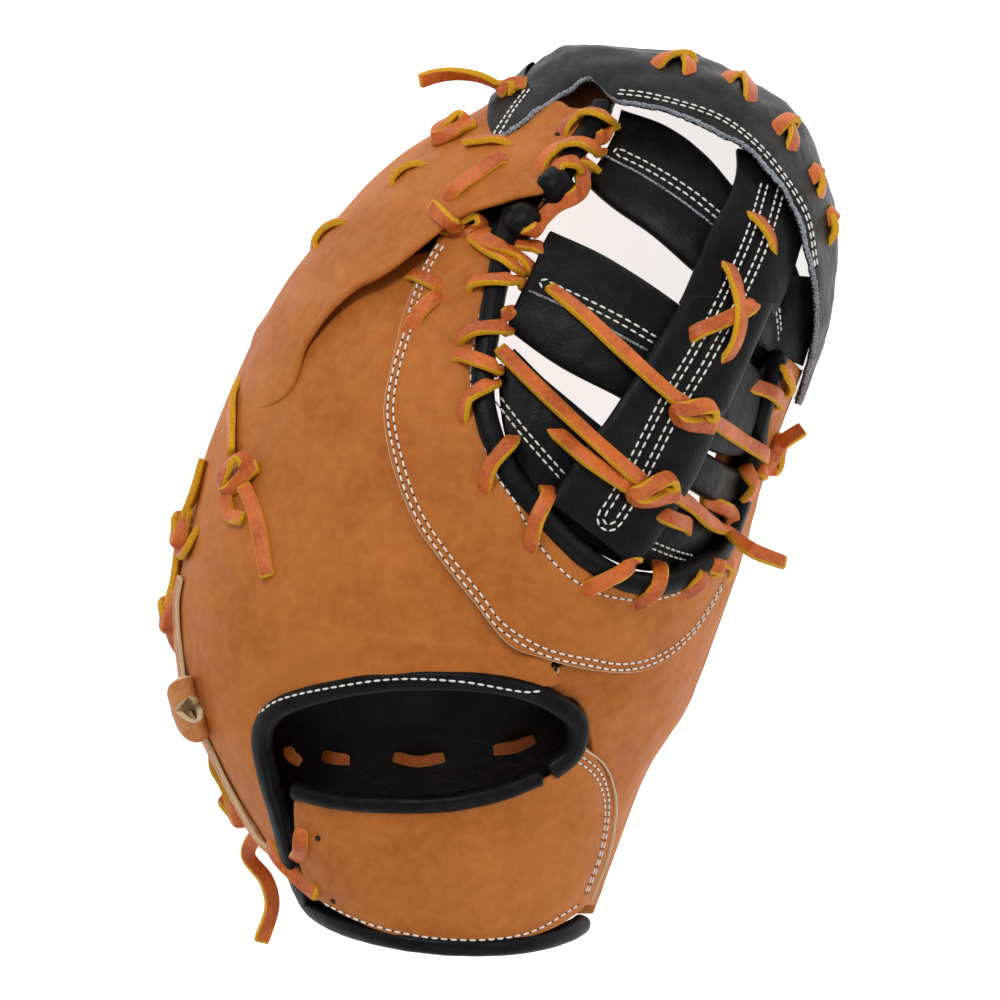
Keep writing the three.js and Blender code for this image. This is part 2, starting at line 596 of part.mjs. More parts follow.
// A flat tube of leather between two lines, open at both ends
function flatTube(pairs, { along, height, sides = 10 }) {
  const left = smoothLine(pairs.map((pair) => pair[0]), along);
  const right = smoothLine(pairs.map((pair) => pair[1]), along);
  const outside = [];
  const inside = [];
  for (let i = 0; i <= along; i += 1) {
    const [from, to] = [left[i], right[i]];
    const width = outer(from.u, from.v).distanceTo(outer(to.u, to.v));
    for (let k = 0; k < sides; k += 1) {
      const angle = ((k + 0.5) / sides) * 2 * Math.PI;
      const share = Math.sign(Math.cos(angle)) * Math.abs(Math.cos(angle)) ** 0.6;
      const rise = Math.sign(Math.sin(angle)) * Math.abs(Math.sin(angle)) ** 0.8;
      const pointAt = (wall) => {
        const w = 0.5 + share * (0.5 - wall / width);
        const mid = from.lift + (to.lift - from.lift) * w;
        const u = from.u + (to.u - from.u) * w;
        const v = from.v + (to.v - from.v) * w;
        return lifted(outer, u, v, mid + rise * (height / 2 - wall));
      };
      outside.push(pointAt(0));
      inside.push(pointAt(BAR_WALL));
    }
  }
  const triangles = [];
  const shift = outside.length;
  for (let i = 0; i < along; i += 1) {
    for (let k = 0; k < sides; k += 1) {
      const [a, b] = [i * sides + k, i * sides + ((k + 1) % sides)];
      const [c, d] = [a + sides, b + sides];
      triangles.push([a, b, d], [a, d, c]);
      triangles.push([shift + a, shift + d, shift + b], [shift + a, shift + c, shift + d]);
    }
  }
  const end = along * sides;
  for (let k = 0; k < sides; k += 1) {
    const next = (k + 1) % sides;
    triangles.push([k, shift + k, shift + next], [k, shift + next, next]);
    const [a, b] = [end + k, end + next];
    triangles.push([a, shift + b, shift + a], [a, b, shift + b]);
  }
  return solidFrom([...outside, ...inside], triangles);
}

// Web bars. Rows are x and y of the upper edge, then of the lower edge.
const BAR_1 = [
  [0.122, 0.388, 0.087, 0.315], [0.166, 0.372, 0.112, 0.293], [0.205, 0.343, 0.148, 0.268],
  [0.235, 0.308, 0.19, 0.232], [0.262, 0.272, 0.225, 0.197], [0.285, 0.235, 0.255, 0.168],
  [0.3, 0.195, 0.28, 0.152],
];
const BAR_2 = [
  [0.052, 0.268, 0.008, 0.17], [0.1, 0.246, 0.06, 0.133], [0.14, 0.222, 0.121, 0.101],
  [0.176, 0.197, 0.162, 0.074], [0.213, 0.168, 0.195, 0.056], [0.24, 0.146, 0.218, 0.046],
  [0.257, 0.13, 0.235, 0.044],
];
const BAR_3 = [
  [0.168, 0.07, 0.15, 0.036], [0.198, 0.052, 0.18, 0.016], [0.222, 0.038, 0.205, 0.001],
  [0.238, 0.03, 0.226, -0.01],
];
// The base closes the web's foot. Rows are x and y of its upper edge, then of its seat.
const BASE = [
  [0.014, 0.153, -0.003, 0.12], [0.043, 0.124, 0.003, 0.07], [0.075, 0.097, 0.018, 0.032],
  [0.105, 0.072, 0.052, -0.014], [0.15, 0.032, 0.093, -0.05], [0.19, 0.003, 0.145, -0.072],
  [0.215, -0.012, 0.19, -0.064], [0.232, -0.02, 0.218, -0.05],
];
const POST = [
  [0.236, 0.35, 0.3, 0.295], [0.231, 0.31, 0.302, 0.272], [0.212, 0.274, 0.296, 0.244],
  [0.197, 0.238, 0.287, 0.215], [0.18, 0.2, 0.274, 0.188], [0.15, 0.148, 0.253, 0.152],
  [0.121, 0.102, 0.238, 0.116], [0.094, 0.066, 0.222, 0.085], [0.072, 0.034, 0.203, 0.041],
  [0.06, 0.016, 0.183, 0.002], [0.047, -0.001, 0.134, -0.069],
];
const POST_LIFT = [-5.4, -5.2, -4.8, -4, -2, 0, 0, -0.4, -1, -1.6, -2];
const barOne = flatTube(between(BAR_1, -12.8), { along: 7, height: BAR_HEIGHT });
const barTwo = flatTube(between(BAR_2, -8), { along: 7, height: BAR_HEIGHT });
const barThree = flatTube(between(BAR_3, -9), { along: 3, height: BAR_HEIGHT });
const base = panel(between(BASE, -6.6), { across: 3, along: 12, thick: 4 });
const postPairs = POST.map((row, i) => between([row], POST_LIFT[i])[0]);
const post = flatTube(postPairs, { along: 11, height: POST_HEIGHT });
addPiece("web_bar_1", carved(barOne, [weltCut, wallCut]), BLACK);
addPiece("web_bar_2", carved(barTwo, [weltCut, wallCut]), BLACK);
addPiece("web_bar_3", carved(barThree, [weltCut, wallCut]), BLACK);
addPiece("web_base", carved(base, [weltCut, wallCut]), BLACK);
addPiece("web_post", post, BLACK);

// Web top bar: the folded band from the hood on the finger tip to the flap at the
// thumb tip. Rows are x, y and lift of its raw edge, then u and v of its folded edge.
const TOP_BAR = [
  [0.004, 0.37, 0.6, 0, 0.835], [0.041, 0.393, 0.8, 0, 0.885], [0.069, 0.411, 0.8, 0, 0.94],
  [0.094, 0.422, 0.8, 0, 0.99], [0.113, 0.402, 1, 0.15, 1], [0.132, 0.398, 1.2, 0.4, 1],
  [0.155, 0.394, 1.6, 0.7, 1], [0.19, 0.383, 2, 0.95, 1], [0.223, 0.367, 3, 1, 0.955],
  [0.252, 0.35, 3.2, 1, 0.9], [0.275, 0.325, 3.2, 1, 0.84], [0.299, 0.288, 3.2, 1, 0.78],
  [0.309, 0.25, 3, 1, 0.72], [0.314, 0.21, 2, 1, 0.67], [0.309, 0.175, 1, 1, 0.63],
  [0.304, 0.15, 0.6, 1, 0.6],
];
const TOP_THICK = 4;
const topPairs = TOP_BAR.map(([x, y, lift, u, v]) => [place([x, y, lift]), { u, v, lift: 0 }]);
const topBar = panel(topPairs, { across: 4, along: 24, thick: TOP_THICK, foot: 0 });
addPiece("web_top_bar", topBar, BLACK);

// Lacing. Rows are x, y and lift off the skin, or x, y, height and a lean.
const OVER = 2.8;
const LACES = {
  lace_edge_1: [[0.059, 0.366, 0.6], [0.077, 0.384, 2.6], [0.1, 0.39, 3.2], [0.12, 0.38, 1.4]],
  lace_edge_2: [[0.036, 0.328, 5.2], [0.057, 0.35, 4], [0.08, 0.358, 3], [0.102, 0.352, -1]],
  lace_edge_3: [[0.022, 0.262, 1.6], [0.045, 0.286, 1.4], [0.073, 0.31, -0.8]],
  lace_edge_4: [[-0.035, 0.209, 0.5], [-0.006, 0.215, OVER], [0.027, 0.217, -3]],
  lace_edge_5: [[-0.045, 0.157, 0.5], [-0.018, 0.168, 3], [0.01, 0.171, -0.5]],
  lace_edge_6: [[-0.051, 0.14, 0.5], [-0.017, 0.134, 3], [-0.004, 0.129, 1.6]],
  lace_edge_7: [[-0.041, 0.075, 0.5], [-0.03, 0.094, 2.4], [-0.012, 0.108, 3]],
  lace_base_1: [[-0.018, 0.005, 0.5], [-0.004, 0.033, 2.6], [0.011, 0.058, 3]],
  lace_base_2: [[0.029, -0.054, 0.5], [0.036, -0.028, 2.4], [0.041, -0.006, 3.1], [0.044, 0.012, 1.2]],
  lace_base_3: [[0.082, -0.097, 0.5], [0.1, -0.083, 2.6], [0.112, -0.074, 3.1], [0.125, -0.067, 2]],
  lace_base_4: [[0.134, -0.108, 0.5], [0.15, -0.088, OVER], [0.161, -0.065, 1]],
  lace_base_5: [[0.179, -0.101, 0.5], [0.19, -0.088, 2.6], [0.2, -0.072, 3.2], [0.205, -0.062, 2]],
  lace_base_6: [[0.219, -0.09, 0.6], [0.226, -0.072, 2.6], [0.23, -0.058, 3]],
  lace_post_cross_side: [[0.187, 0.162, 3.5], [0.225, 0.182, 3.5], [0.261, 0.201, 3.5]],
  lace_post_slash: [[0.25, 0.294, -1.1], [0.268, 0.27, -0.9], [0.284, 0.242, -0.5]],
  lace_collar_1: [[-0.092, 0.226, 0.5], [-0.072, 0.218, 0.5], [-0.053, 0.211, 0.5]],
  lace_collar_2: [[-0.059, 0.196, 0.5], [-0.08, 0.178, 0.5], [-0.1, 0.161, 0.5]],
  lace_finger_2: [[0.013, 0.346, 2.7], [-0.025, 0.318, 5.1], [-0.057, 0.299, 5.5]],
  lace_rim_1: [[-0.092, 0.31, 3], [-0.08, 0.318, 3.2], [-0.066, 0.325, 3.2]],
  lace_rim_2: [[-0.178, 0.245, 2], [-0.165, 0.26, 2.2], [-0.15, 0.272, 2.2]],
  lace_rim_3: [{ u: 0.075, v: 0.565, lift: 1.4 }, { u: 0.07, v: 0.585, lift: 1.6 }, { u: 0.07, v: 0.605, lift: 1.6 }],
};
for (const [name, rows] of Object.entries(LACES)) {
  addPiece(name, strap(laceFrames(rows, 4)), LACING);
}
const crossRows = [
  [0.226, 0.243, 2.8], [0.236, 0.215, 5.3], [0.236, 0.182, 6.9], [0.231, 0.152, 5.7], [0.224, 0.13, 3.5],
];
addPiece("lace_post_cross_long", strap(laceFrames(crossRows, 8)), LACING);

// Laces over the top bar's folded edge: a strand along it and a strand down from it.
// Each is set at a share of the bar's length, and its places at shares of its width.
const TOP_LACES = [0.44, 0.535, 0.625, 0.695, 0.77];
const rawEdge = new THREE.CatmullRomCurve3(
  topPairs.map(([p]) => new THREE.Vector3(p.u, p.v, p.lift)), false, "centripetal",
);
const foldEdge = new THREE.CatmullRomCurve3(
  topPairs.map(([, p]) => new THREE.Vector3(p.u, p.v, p.lift)), false, "centripetal",
);

function onBar(along, across, above) {
  const p = rawEdge.getPoint(along).lerp(foldEdge.getPoint(along), across);
  return { u: p.x, v: p.y, lift: p.z + above };
}

TOP_LACES.forEach((t, i) => {
  const rows = [onBar(t - 0.022, 0.72, 0.8), onBar(t, 0.9, 1), onBar(t + 0.022, 0.76, 0.8)];
  const along = strap(laceFrames(rows, 4));
  const down = strap(laceFrames([onBar(t, 0.88, 1.1), onBar(t + 0.005, 0.7, 0.9), onBar(t + 0.01, 0.5, 0.7)], 3));
  addPiece(`lace_top_${i + 1}`, joined([along, down]), LACING);
});

// Knots with their tails
const KNOTS = {
  knot_post_1: {
    lump: [0.191, 0.09, 4],
    toward: [1, -0.3],
    tails: [
      [[0.05, 0.214, -3], [0.115, 0.157, 0.5], [0.15, 0.121, 4.2], [0.185, 0.094, 5]],
      [[0.2, 0.086, 5], [0.225, 0.066, 4.4], [0.25, 0.052, 3.2], [0.268, 0.043, 3.2]],
    ],
  },
  knot_post_2: {
    lump: [0.151, 0.015, 3.2],
    toward: [1, -0.2],
    tails: [
      [[-0.001, 0.153, 3], [0.05, 0.094, 1.4], [0.1, 0.05, 3.4], [0.145, 0.017, 5]],
      [[0.16, 0.01, 5], [0.192, -0.012, 4], [0.222, -0.036, 3.2], [0.24, -0.045, 3.4],
        [0.288, -0.064, 72, 0.6]],
    ],
  },
  knot_finger_1: {
    lump: { u: 0.14, v: 0.782, lift: 0.8 },
    toward: [1, -0.2],
    tails: [
      [{ u: 0.14, v: 0.782, lift: 3 }, { u: 0.175, v: 0.776, lift: 2 }, { u: 0.215, v: 0.774, lift: 1.4 }],
      [{ u: 0.14, v: 0.782, lift: 3.4 }, { u: 0.13, v: 0.795, lift: 6 }, { u: 0.12, v: 0.805, lift: 11 }],
    ],
  },
  knot_finger_2: {
    lump: [-0.031, 0.268, 6.6],
    toward: [1, -0.3],
    tails: [
      [[-0.034, 0.27, 9], [-0.05, 0.276, 8.6], [-0.067, 0.288, 8]],
      [[-0.03, 0.266, 9], [-0.005, 0.252, 6], [0.01, 0.243, 3], [0.035, 0.231, -2.6]],
    ],
  },
  knot_pinky_1: {
    lump: [-0.258, 0.025, 0.8],
    toward: [1, 0.2],
    tails: [
      [[-0.258, 0.028, 2.6], [-0.262, 0.055, 1.2], [-0.263, 0.08, 1.4], [-0.262, 0.105, 1.8]],
      [[-0.257, 0.02, 2.6], [-0.248, -0.006, 1], [-0.238, -0.04, 1], [-0.231, -0.076, 0.8]],
    ],
  },
  knot_pinky_2: {
    lump: { u: 0.05, v: 0.405, lift: 0 },
    toward: [0.3, 1],
    tails: [[{ u: 0.05, v: 0.41, lift: 2.2 }, { u: 0.055, v: 0.44, lift: 0.2 }, { u: 0.05, v: 0.47, lift: 0.2 }]],
  },
  knot_pinky_3: {
    lump: { u: 0.045, v: 0.325, lift: -0.4 },
    toward: [0.3, 1],
    tails: [[{ u: 0.045, v: 0.33, lift: 1.8 }, { u: 0.04, v: 0.355, lift: -0.2 }, { u: 0.035, v: 0.385, lift: -0.2 }]],
  },
  knot_thumb: {
    lump: { u: 0.93, v: 0.5, lift: -5.1 },
    toward: [0, 1],
    tails: [[{ u: 0.93, v: 0.5, lift: -2.5 }, [0.292, 0.062, 37.4, 0.8], [0.303, 0.072, 39.6, 0.8]]],
  },
  knot_wrist: {
    lump: { u: 0.035, v: 0.115, lift: 0.1 },
    toward: [0, 1],
    tails: [[{ u: 0.035, v: 0.115, lift: 2.3 }, [-0.252, -0.355, 12, -0.6], [-0.227, -0.395, 7, -0.4],
      [-0.239, -0.442, 4, -0.4]]],
  },
};
const KNOT_HEIGHT = 7;
for (const [name, { lump: spot, toward, tails }] of Object.entries(KNOTS)) {
  const pieces = [knotAt(spot, toward, KNOT_SIZE, KNOT_HEIGHT)];
  tails.forEach((rows) => pieces.push(strap(laceFrames(rows, 5))));
  addPiece(name, joined(pieces), LACING);
}

// The tan thong at the little finger's side, with its wide flat knot, and the wrist lace
const THONG = [
  { u: 0.105, v: 0.225, lift: 3 }, { u: 0.095, v: 0.19, lift: 1 }, { u: 0.09, v: 0.14, lift: 1 },
  { u: 0.1, v: 0.085, lift: 1 },
];
const THONG_KNOT = 18;
const THONG_KNOT_HEIGHT = 9;
const thongKnot = knotAt({ u: 0.105, v: 0.235, lift: 0.8 }, [0.4, 1], THONG_KNOT, THONG_KNOT_HEIGHT);
addPiece("knotted_thong", joined([thongKnot, strap(laceFrames(THONG, 7), { width: 7 })]), TAN);
const WRIST_LACE = [
  { u: 0.15, v: 0.105, lift: 0.8 }, [-0.22, -0.345, 2.2], [-0.206, -0.362, 2.6], [-0.19, -0.38, 1.6],
  [-0.18, -0.393, 0.8],
];
addPiece("lace_wrist", strap(laceFrames(WRIST_LACE, 7)), LACING);
const FINGER_TAIL = [
  [0.002, 0.414, 22.8, -0.5], [-0.02, 0.424, 26, -0.4], [-0.046, 0.428, 31, -0.3], [-0.081, 0.42, 34, -0.2],
];
addPiece("lace_finger_1", strap(laceFrames(FINGER_TAIL, 6)), LACING);

export default mitt;
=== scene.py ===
"""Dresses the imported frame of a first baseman's mitt: leather, lacing, web and stitching."""

import math

import bpy
import numpy as np
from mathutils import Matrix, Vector
from mathutils.bvhtree import BVHTree


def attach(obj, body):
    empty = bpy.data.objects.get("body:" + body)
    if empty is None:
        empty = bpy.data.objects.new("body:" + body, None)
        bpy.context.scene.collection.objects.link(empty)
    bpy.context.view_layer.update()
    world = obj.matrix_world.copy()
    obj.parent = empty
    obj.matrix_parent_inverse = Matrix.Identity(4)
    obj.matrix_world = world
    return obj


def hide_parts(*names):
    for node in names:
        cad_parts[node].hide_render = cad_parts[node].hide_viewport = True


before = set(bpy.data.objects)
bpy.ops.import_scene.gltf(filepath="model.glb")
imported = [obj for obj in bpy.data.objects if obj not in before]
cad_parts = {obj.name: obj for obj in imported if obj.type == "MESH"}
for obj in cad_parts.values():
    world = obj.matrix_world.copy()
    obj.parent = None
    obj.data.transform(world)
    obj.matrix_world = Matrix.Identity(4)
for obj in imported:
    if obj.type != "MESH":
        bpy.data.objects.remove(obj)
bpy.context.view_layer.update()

# Driving sizes in millimetres, as in the part's source, but for laces drawn 0.4 mm thicker
LENGTH, WIDTH, DEPTH = 338.0, 248.0, 118.0
CLEARANCE, LEATHER, PALM_WALL = 0.4, 2.4, 3.2
RIM_THICKNESS = 14.0
HEEL_SPACE, HAND_SPACE, FINGER_SPACE = 50.0, 42.0, 24.0
ROLL, WELT = 7.0, 8.0
LACE_WIDTH, LACE_THICK = 5.5, 2.8
BAR_HEIGHT, BAR_WALL, POST_HEIGHT = 8.0, 2.0, 7.0
# Moves the middle of the footprint to the frame's origin
CENTRE = np.array([-0.5, -2.5, 0.0])
VIEW, SIGHT_HEIGHT, SIGHT_LEVEL = 360.0, 1800.0, 60.0
FOOT = PALM_WALL + CLEARANCE
FULLNESS = 0.9
# The lift of an edge that goes under another leather
TUCK = -LEATHER - CLEARANCE - 0.2
MM = 0.001

# Columns: left x, left y, right x, right y, bow, crown, lean
STATIONS = np.array([
    [-0.29, -0.44, 0.14, -0.455, -0.035, 0.56, 0.05],
    [-0.365, -0.36, 0.175, -0.385, -0.03, 0.66, 0.08],
    [-0.425, -0.285, 0.22, -0.3, -0.02, 0.76, 0.12],
    [-0.475, -0.205, 0.285, -0.22, -0.01, 0.87, 0.18],
    [-0.485, -0.115, 0.325, -0.145, 0, 0.95, 0.25],
    [-0.465, -0.02, 0.365, -0.06, 0, 1, 0.32],
    [-0.425, 0.08, 0.4, 0.035, 0, 1, 0.4],
    [-0.36, 0.19, 0.445, 0.125, 0, 0.96, 0.5],
    [-0.265, 0.29, 0.49, 0.215, 0, 0.86, 0.55],
    [-0.15, 0.375, 0.5, 0.29, 0, 0.74, 0.5],
    [-0.03, 0.43, 0.485, 0.355, 0, 0.58, 0.4],
    [0.05, 0.475, 0.435, 0.425, 0.005, 0.38, 0.2],
    [0.095, 0.5, 0.3, 0.49, 0.005, 0.14, 0],
])


# The skins of the mitt, as functions of a share across (u) and a share along (v)
def station(v):
    last = len(STATIONS) - 1
    place = np.clip(v, 0, 1) * last
    index = np.minimum(place.astype(int), last - 1)
    w = (place - index)[..., None]
    before, a, b, after = [STATIONS[np.clip(index + k, 0, last)] for k in (-1, 0, 1, 2)]
    square = (2 * before - 5 * a + 4 * b - after) * w**2
    cube = (3 * a - before - 3 * b + after) * w**3
    found = 0.5 * (2 * a + (b - before) * w + square + cube)
    return [found[..., k] for k in range(7)]


def dome(u, v, inset, room, foot):
    left_x, left_y, right_x, right_y, bow, crown, lean = station(v)
    angle = np.pi * np.clip(u, 0, 1)
    across = (1 - np.cos(angle)) / 2
    across = across + lean * across * (1 - across)
    left = left_x * WIDTH + inset
    right = right_x * WIDTH - inset
    height = np.maximum(crown * DEPTH - FOOT - room, 2)
    y = (left_y + (right_y - left_y) * across + bow * np.sin(angle)) * LENGTH
    z = foot + height * np.sin(angle).clip(0, 1) ** FULLNESS
    return np.stack([left + (right - left) * across, y, z], -1)


def outer(u, v):
    return dome(u, v, 0, 0, FOOT)


def smoothstep(x, low, high):
    t = np.clip((x - low) / (high - low), 0, 1)
    return t * t * (3 - 2 * t)


def pocket(u, v):
    heel = HEEL_SPACE + (HAND_SPACE - HEEL_SPACE) * smoothstep(v, 0, 0.25)
    hand = heel + (FINGER_SPACE - heel) * smoothstep(v, 0.25, 0.6)
    most = 0.85 - 0.35 * smoothstep(v, 0.3, 0.7)
    room = np.minimum(hand, most * station(v)[5] * DEPTH)
    return dome(u, v, RIM_THICKNESS, room, 0)


def length(a):
    return np.linalg.norm(a, axis=-1)


def unit(a):
    return a / np.maximum(length(a), 1e-9)[..., None]


NORMAL_STEP = 0.004


def normal_of(surface, u, v):
    side = surface(np.minimum(u + NORMAL_STEP, 1), v) - surface(np.maximum(u - NORMAL_STEP, 0), v)
    ahead = surface(u, np.minimum(v + NORMAL_STEP, 1)) - surface(u, np.maximum(v - NORMAL_STEP, 0))
    return unit(np.cross(side, ahead))


def lifted(surface, u, v, lift):
    lift = np.broadcast_to(lift, np.shape(u))
    return surface(u, v) + normal_of(surface, u, v) * lift[..., None]


# The sight: shares of a square VIEW wide, read straight down from SIGHT_HEIGHT. Tables give them
# in thousandths, either from the middle with y up, or as the photo's places with y down.
SKIN_STEP, SEARCH_GRID, SEARCH_TURNS = 1e-4, 41, 40
SEARCH_PACE, SEARCH_REACH = 0.6, 0.05


def sight_scale(z):
    return VIEW * (SIGHT_HEIGHT - z) / (SIGHT_HEIGHT - SIGHT_LEVEL)


def sighted(x, y, z):
    return np.stack([x * sight_scale(z), y * sight_scale(z), z + 0 * x], -1)


def in_sight(points):
    scale = sight_scale(points[..., 2])
    return points[..., :2] / scale[..., None]


def seen(rows):
    """Skin shares (u, v, lift) under rows of x, y and an optional lift in the sight."""
    x, y, lift = np.array([[*row, 0][:3] for row in rows], float).T
    x, y = x / 1000, y / 1000
    coarse_u, coarse_v = [g.ravel() for g in np.meshgrid(*[np.linspace(0, 1, SEARCH_GRID)] * 2)]
    coarse = in_sight(outer(coarse_u, coarse_v))
    best = np.argmin((x[:, None] - coarse[:, 0]) ** 2 + (y[:, None] - coarse[:, 1]) ** 2, 1)
    u, v = coarse_u[best].copy(), coarse_v[best].copy()

    def miss(u, v):
        point = lifted(outer, u, v, lift)
        scale = sight_scale(point[..., 2])
        return np.stack([x * scale - point[..., 0], y * scale - point[..., 1]], -1)

    nearest = np.full(len(x), np.inf)
    found = np.stack([u, v], -1)
    for _ in range(SEARCH_TURNS):
        m = miss(u, v)
        size = length(m)
        closer = size < nearest
        nearest = np.where(closer, size, nearest)
        found[closer] = np.stack([u, v], -1)[closer]
        du = (miss(u + SKIN_STEP, v) - m) / SKIN_STEP
        dv = (miss(u, v + SKIN_STEP) - m) / SKIN_STEP
        det = du[:, 0] * dv[:, 1] - dv[:, 0] * du[:, 1]
        det = np.where(np.abs(det) < 1, 1e9, det)
        turn_u = SEARCH_PACE * (dv[:, 1] * m[:, 0] - dv[:, 0] * m[:, 1]) / det
        turn_v = SEARCH_PACE * (du[:, 0] * m[:, 1] - du[:, 1] * m[:, 0]) / det
        u = np.clip(u - np.clip(turn_u, -SEARCH_REACH, SEARCH_REACH), 0, 1)
        v = np.clip(v - np.clip(turn_v, -SEARCH_REACH, SEARCH_REACH), 0, 1)
    return np.column_stack([found, lift])


def places(rows):
    """Rows of x, y, lift in the sight, with ("uv", u, v, lift) rows kept as they are."""
    found = np.zeros((len(rows), 3))
    free = [i for i, row in enumerate(rows) if row[0] != "uv"]
    if free:
        found[free] = seen([rows[i] for i in free])
    for i, row in enumerate(rows):
        if row[0] == "uv":
            found[i] = row[1:]
    return found


def spline(points, steps):
    """Even steps of a centripetal curve through points, steps + 1 places in all."""
    points = np.asarray(points, float)
    padded = np.vstack([2 * points[0] - points[1], points, 2 * points[-1] - points[-2]])
    spans = len(padded) - 3
    t = np.linspace(0, spans, steps + 1)
    i = np.minimum(t.astype(int), spans - 1)
    w = (t - i)[:, None]
    p0, p1, p2, p3 = [padded[i + k] for k in range(4)]
    d0, d1, d2 = [
        np.maximum(length(b - a), 1e-6)[:, None] ** 0.5
        for a, b in ((p0, p1), (p1, p2), (p2, p3))
    ]
    t1 = ((p1 - p0) / d0 - (p2 - p0) / (d0 + d1) + (p2 - p1) / d1) * d1
    t2 = ((p2 - p1) / d1 - (p3 - p1) / (d1 + d2) + (p3 - p2) / d2) * d1
    return (p1 + t1 * w + (3 * (p2 - p1) - 2 * t1 - t2) * w**2
            + (2 * (p1 - p2) + t1 + t2) * w**3)


def smooth_line(places_uv, steps):
    line = spline(places_uv, steps)
    line[:, :2] = np.clip(line[:, :2], 0, 1)
    return line


def run_of(points):
    """How far along a polyline each of its points lies."""
    return np.r_[0, np.cumsum(length(np.diff(points, axis=0)))]


def resample(points, step):
    """Points at equal steps along a polyline, at the middle of each step."""
    lengths = run_of(points)
    count = max(int(round(lengths[-1] / step)), 1)
    marks = (np.arange(count) + 0.5) * lengths[-1] / count
    return np.stack([np.interp(marks, lengths, points[:, k]) for k in range(3)], -1)


def ripple(points, seed, amount, wavelength):
    """A smooth uneven field over points, the same on every run."""
    rng = np.random.default_rng(seed)
    total = np.zeros(points.shape[:-1])
    for _ in range(7):
        wave = unit(rng.normal(size=3)) * 2 * np.pi / (wavelength * rng.uniform(0.7, 1.5))
        total += np.sin(points @ wave + rng.uniform(0, 6.28))
    return total * amount / 3.5


class Shape:
    """Vertices in millimetres, faces, and for each vertex a raw-edge mark and a mark of painted shade in
    creases.
    """

    def __init__(self):
        self.verts, self.quads, self.tris, self.raw, self.crease = [], [], [], [], []
        self.count = 0

    def add(self, verts, quads=(), tris=(), raw=0.0, crease=0.0):
        n = len(verts)
        self.verts.append(verts)
        self.quads.append(np.asarray(quads, int).reshape(-1, 4) + self.count)
        self.tris.append(np.asarray(tris, int).reshape(-1, 3) + self.count)
        self.raw.append(np.broadcast_to(raw, n))
        self.crease.append(np.broadcast_to(crease, n))
        self.count += n
        return self

    def tree(self):
        verts = np.vstack(self.verts)
        faces = np.vstack(self.quads).tolist() + np.vstack(self.tris).tolist()
        return BVHTree.FromPolygons(verts.tolist(), faces)

    def build(self, name, material, nodes=()):
        verts = (np.vstack(self.verts) + CENTRE) * MM
        quads, tris = np.vstack(self.quads), np.vstack(self.tris)
        mesh = bpy.data.meshes.new(name)
        mesh.vertices.add(len(verts))
        mesh.vertices.foreach_set("co", verts.ravel())
        mesh.loops.add(quads.size + tris.size)
        mesh.loops.foreach_set("vertex_index", np.r_[quads.ravel(), tris.ravel()])
        mesh.polygons.add(len(quads) + len(tris))
        starts = np.r_[np.arange(len(quads)) * 4, quads.size + np.arange(len(tris)) * 3]
        mesh.polygons.foreach_set("loop_start", starts)
        mesh.update(calc_edges=True)
        mesh.validate()
        mesh.polygons.foreach_set("use_smooth", np.ones(len(mesh.polygons), bool))
        for key, values in (("raw", self.raw), ("crease", self.crease)):
            layer = mesh.attributes.new(key, "FLOAT", "POINT")
            layer.data.foreach_set("value", np.concatenate(values).astype(np.float32))
        mesh.materials.append(material)
        piece = bpy.data.objects.new(name, mesh)
        bpy.context.scene.collection.objects.link(piece)
        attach(piece, "root")
        if nodes:
            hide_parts(*nodes)


def grid_quads(rows, cols, start=0, wrap=False):
    r, c = np.meshgrid(np.arange(rows - 1), np.arange(cols if wrap else cols - 1), indexing="ij")
    a = r * cols + c
    b = r * cols + (c + 1) % cols
    return np.stack([a, b, b + cols, a + cols], -1).reshape(-1, 4) + start


def sheet_shape(shape, upper, under, raw=0.0, crease=0.0, raw_under=1.0):
    """A closed sheet between two grids of points with the same rows and columns."""
    rows, cols = upper.shape[:2]
    size = rows * cols
    top = grid_quads(rows, cols)
    bottom = grid_quads(rows, cols, size)[:, ::-1]
    r, c = np.arange(rows), np.arange(cols)
    loops = [r * cols, r[::-1] * cols + cols - 1, c[::-1], (rows - 1) * cols + c]
    sides = [np.stack([l[:-1], l[1:], l[1:] + size, l[:-1] + size], -1) for l in loops]
    both = [np.concatenate([np.broadcast_to(a, (rows, cols)).ravel() * share for share in (1, low)])
            for a, low in ((raw, raw_under), (crease, 1))]
    verts = np.concatenate([upper.reshape(-1, 3), under.reshape(-1, 3)])
    return shape.add(verts, np.vstack([top, bottom, *sides]), raw=both[0], crease=both[1])


def frames_of(points, normals, closed=False):
    if closed:
        ahead = unit(np.roll(points, -1, 0) - np.roll(points, 1, 0))
    else:
        ahead = unit(np.gradient(points, axis=0))
    side = unit(np.cross(ahead, normals))
    return ahead, side, np.cross(side, ahead)


def superellipse(width, height, count, power=4.0):
    angle = (np.arange(count) + 0.5) / count * 2 * np.pi
    c, s = np.cos(angle), np.sin(angle)
    round_to = 2 / power
    across = np.sign(c) * np.abs(c) ** round_to * width / 2
    return np.stack([across, np.sign(s) * np.abs(s) ** round_to * height / 2], -1)


BLUNT = 0.35


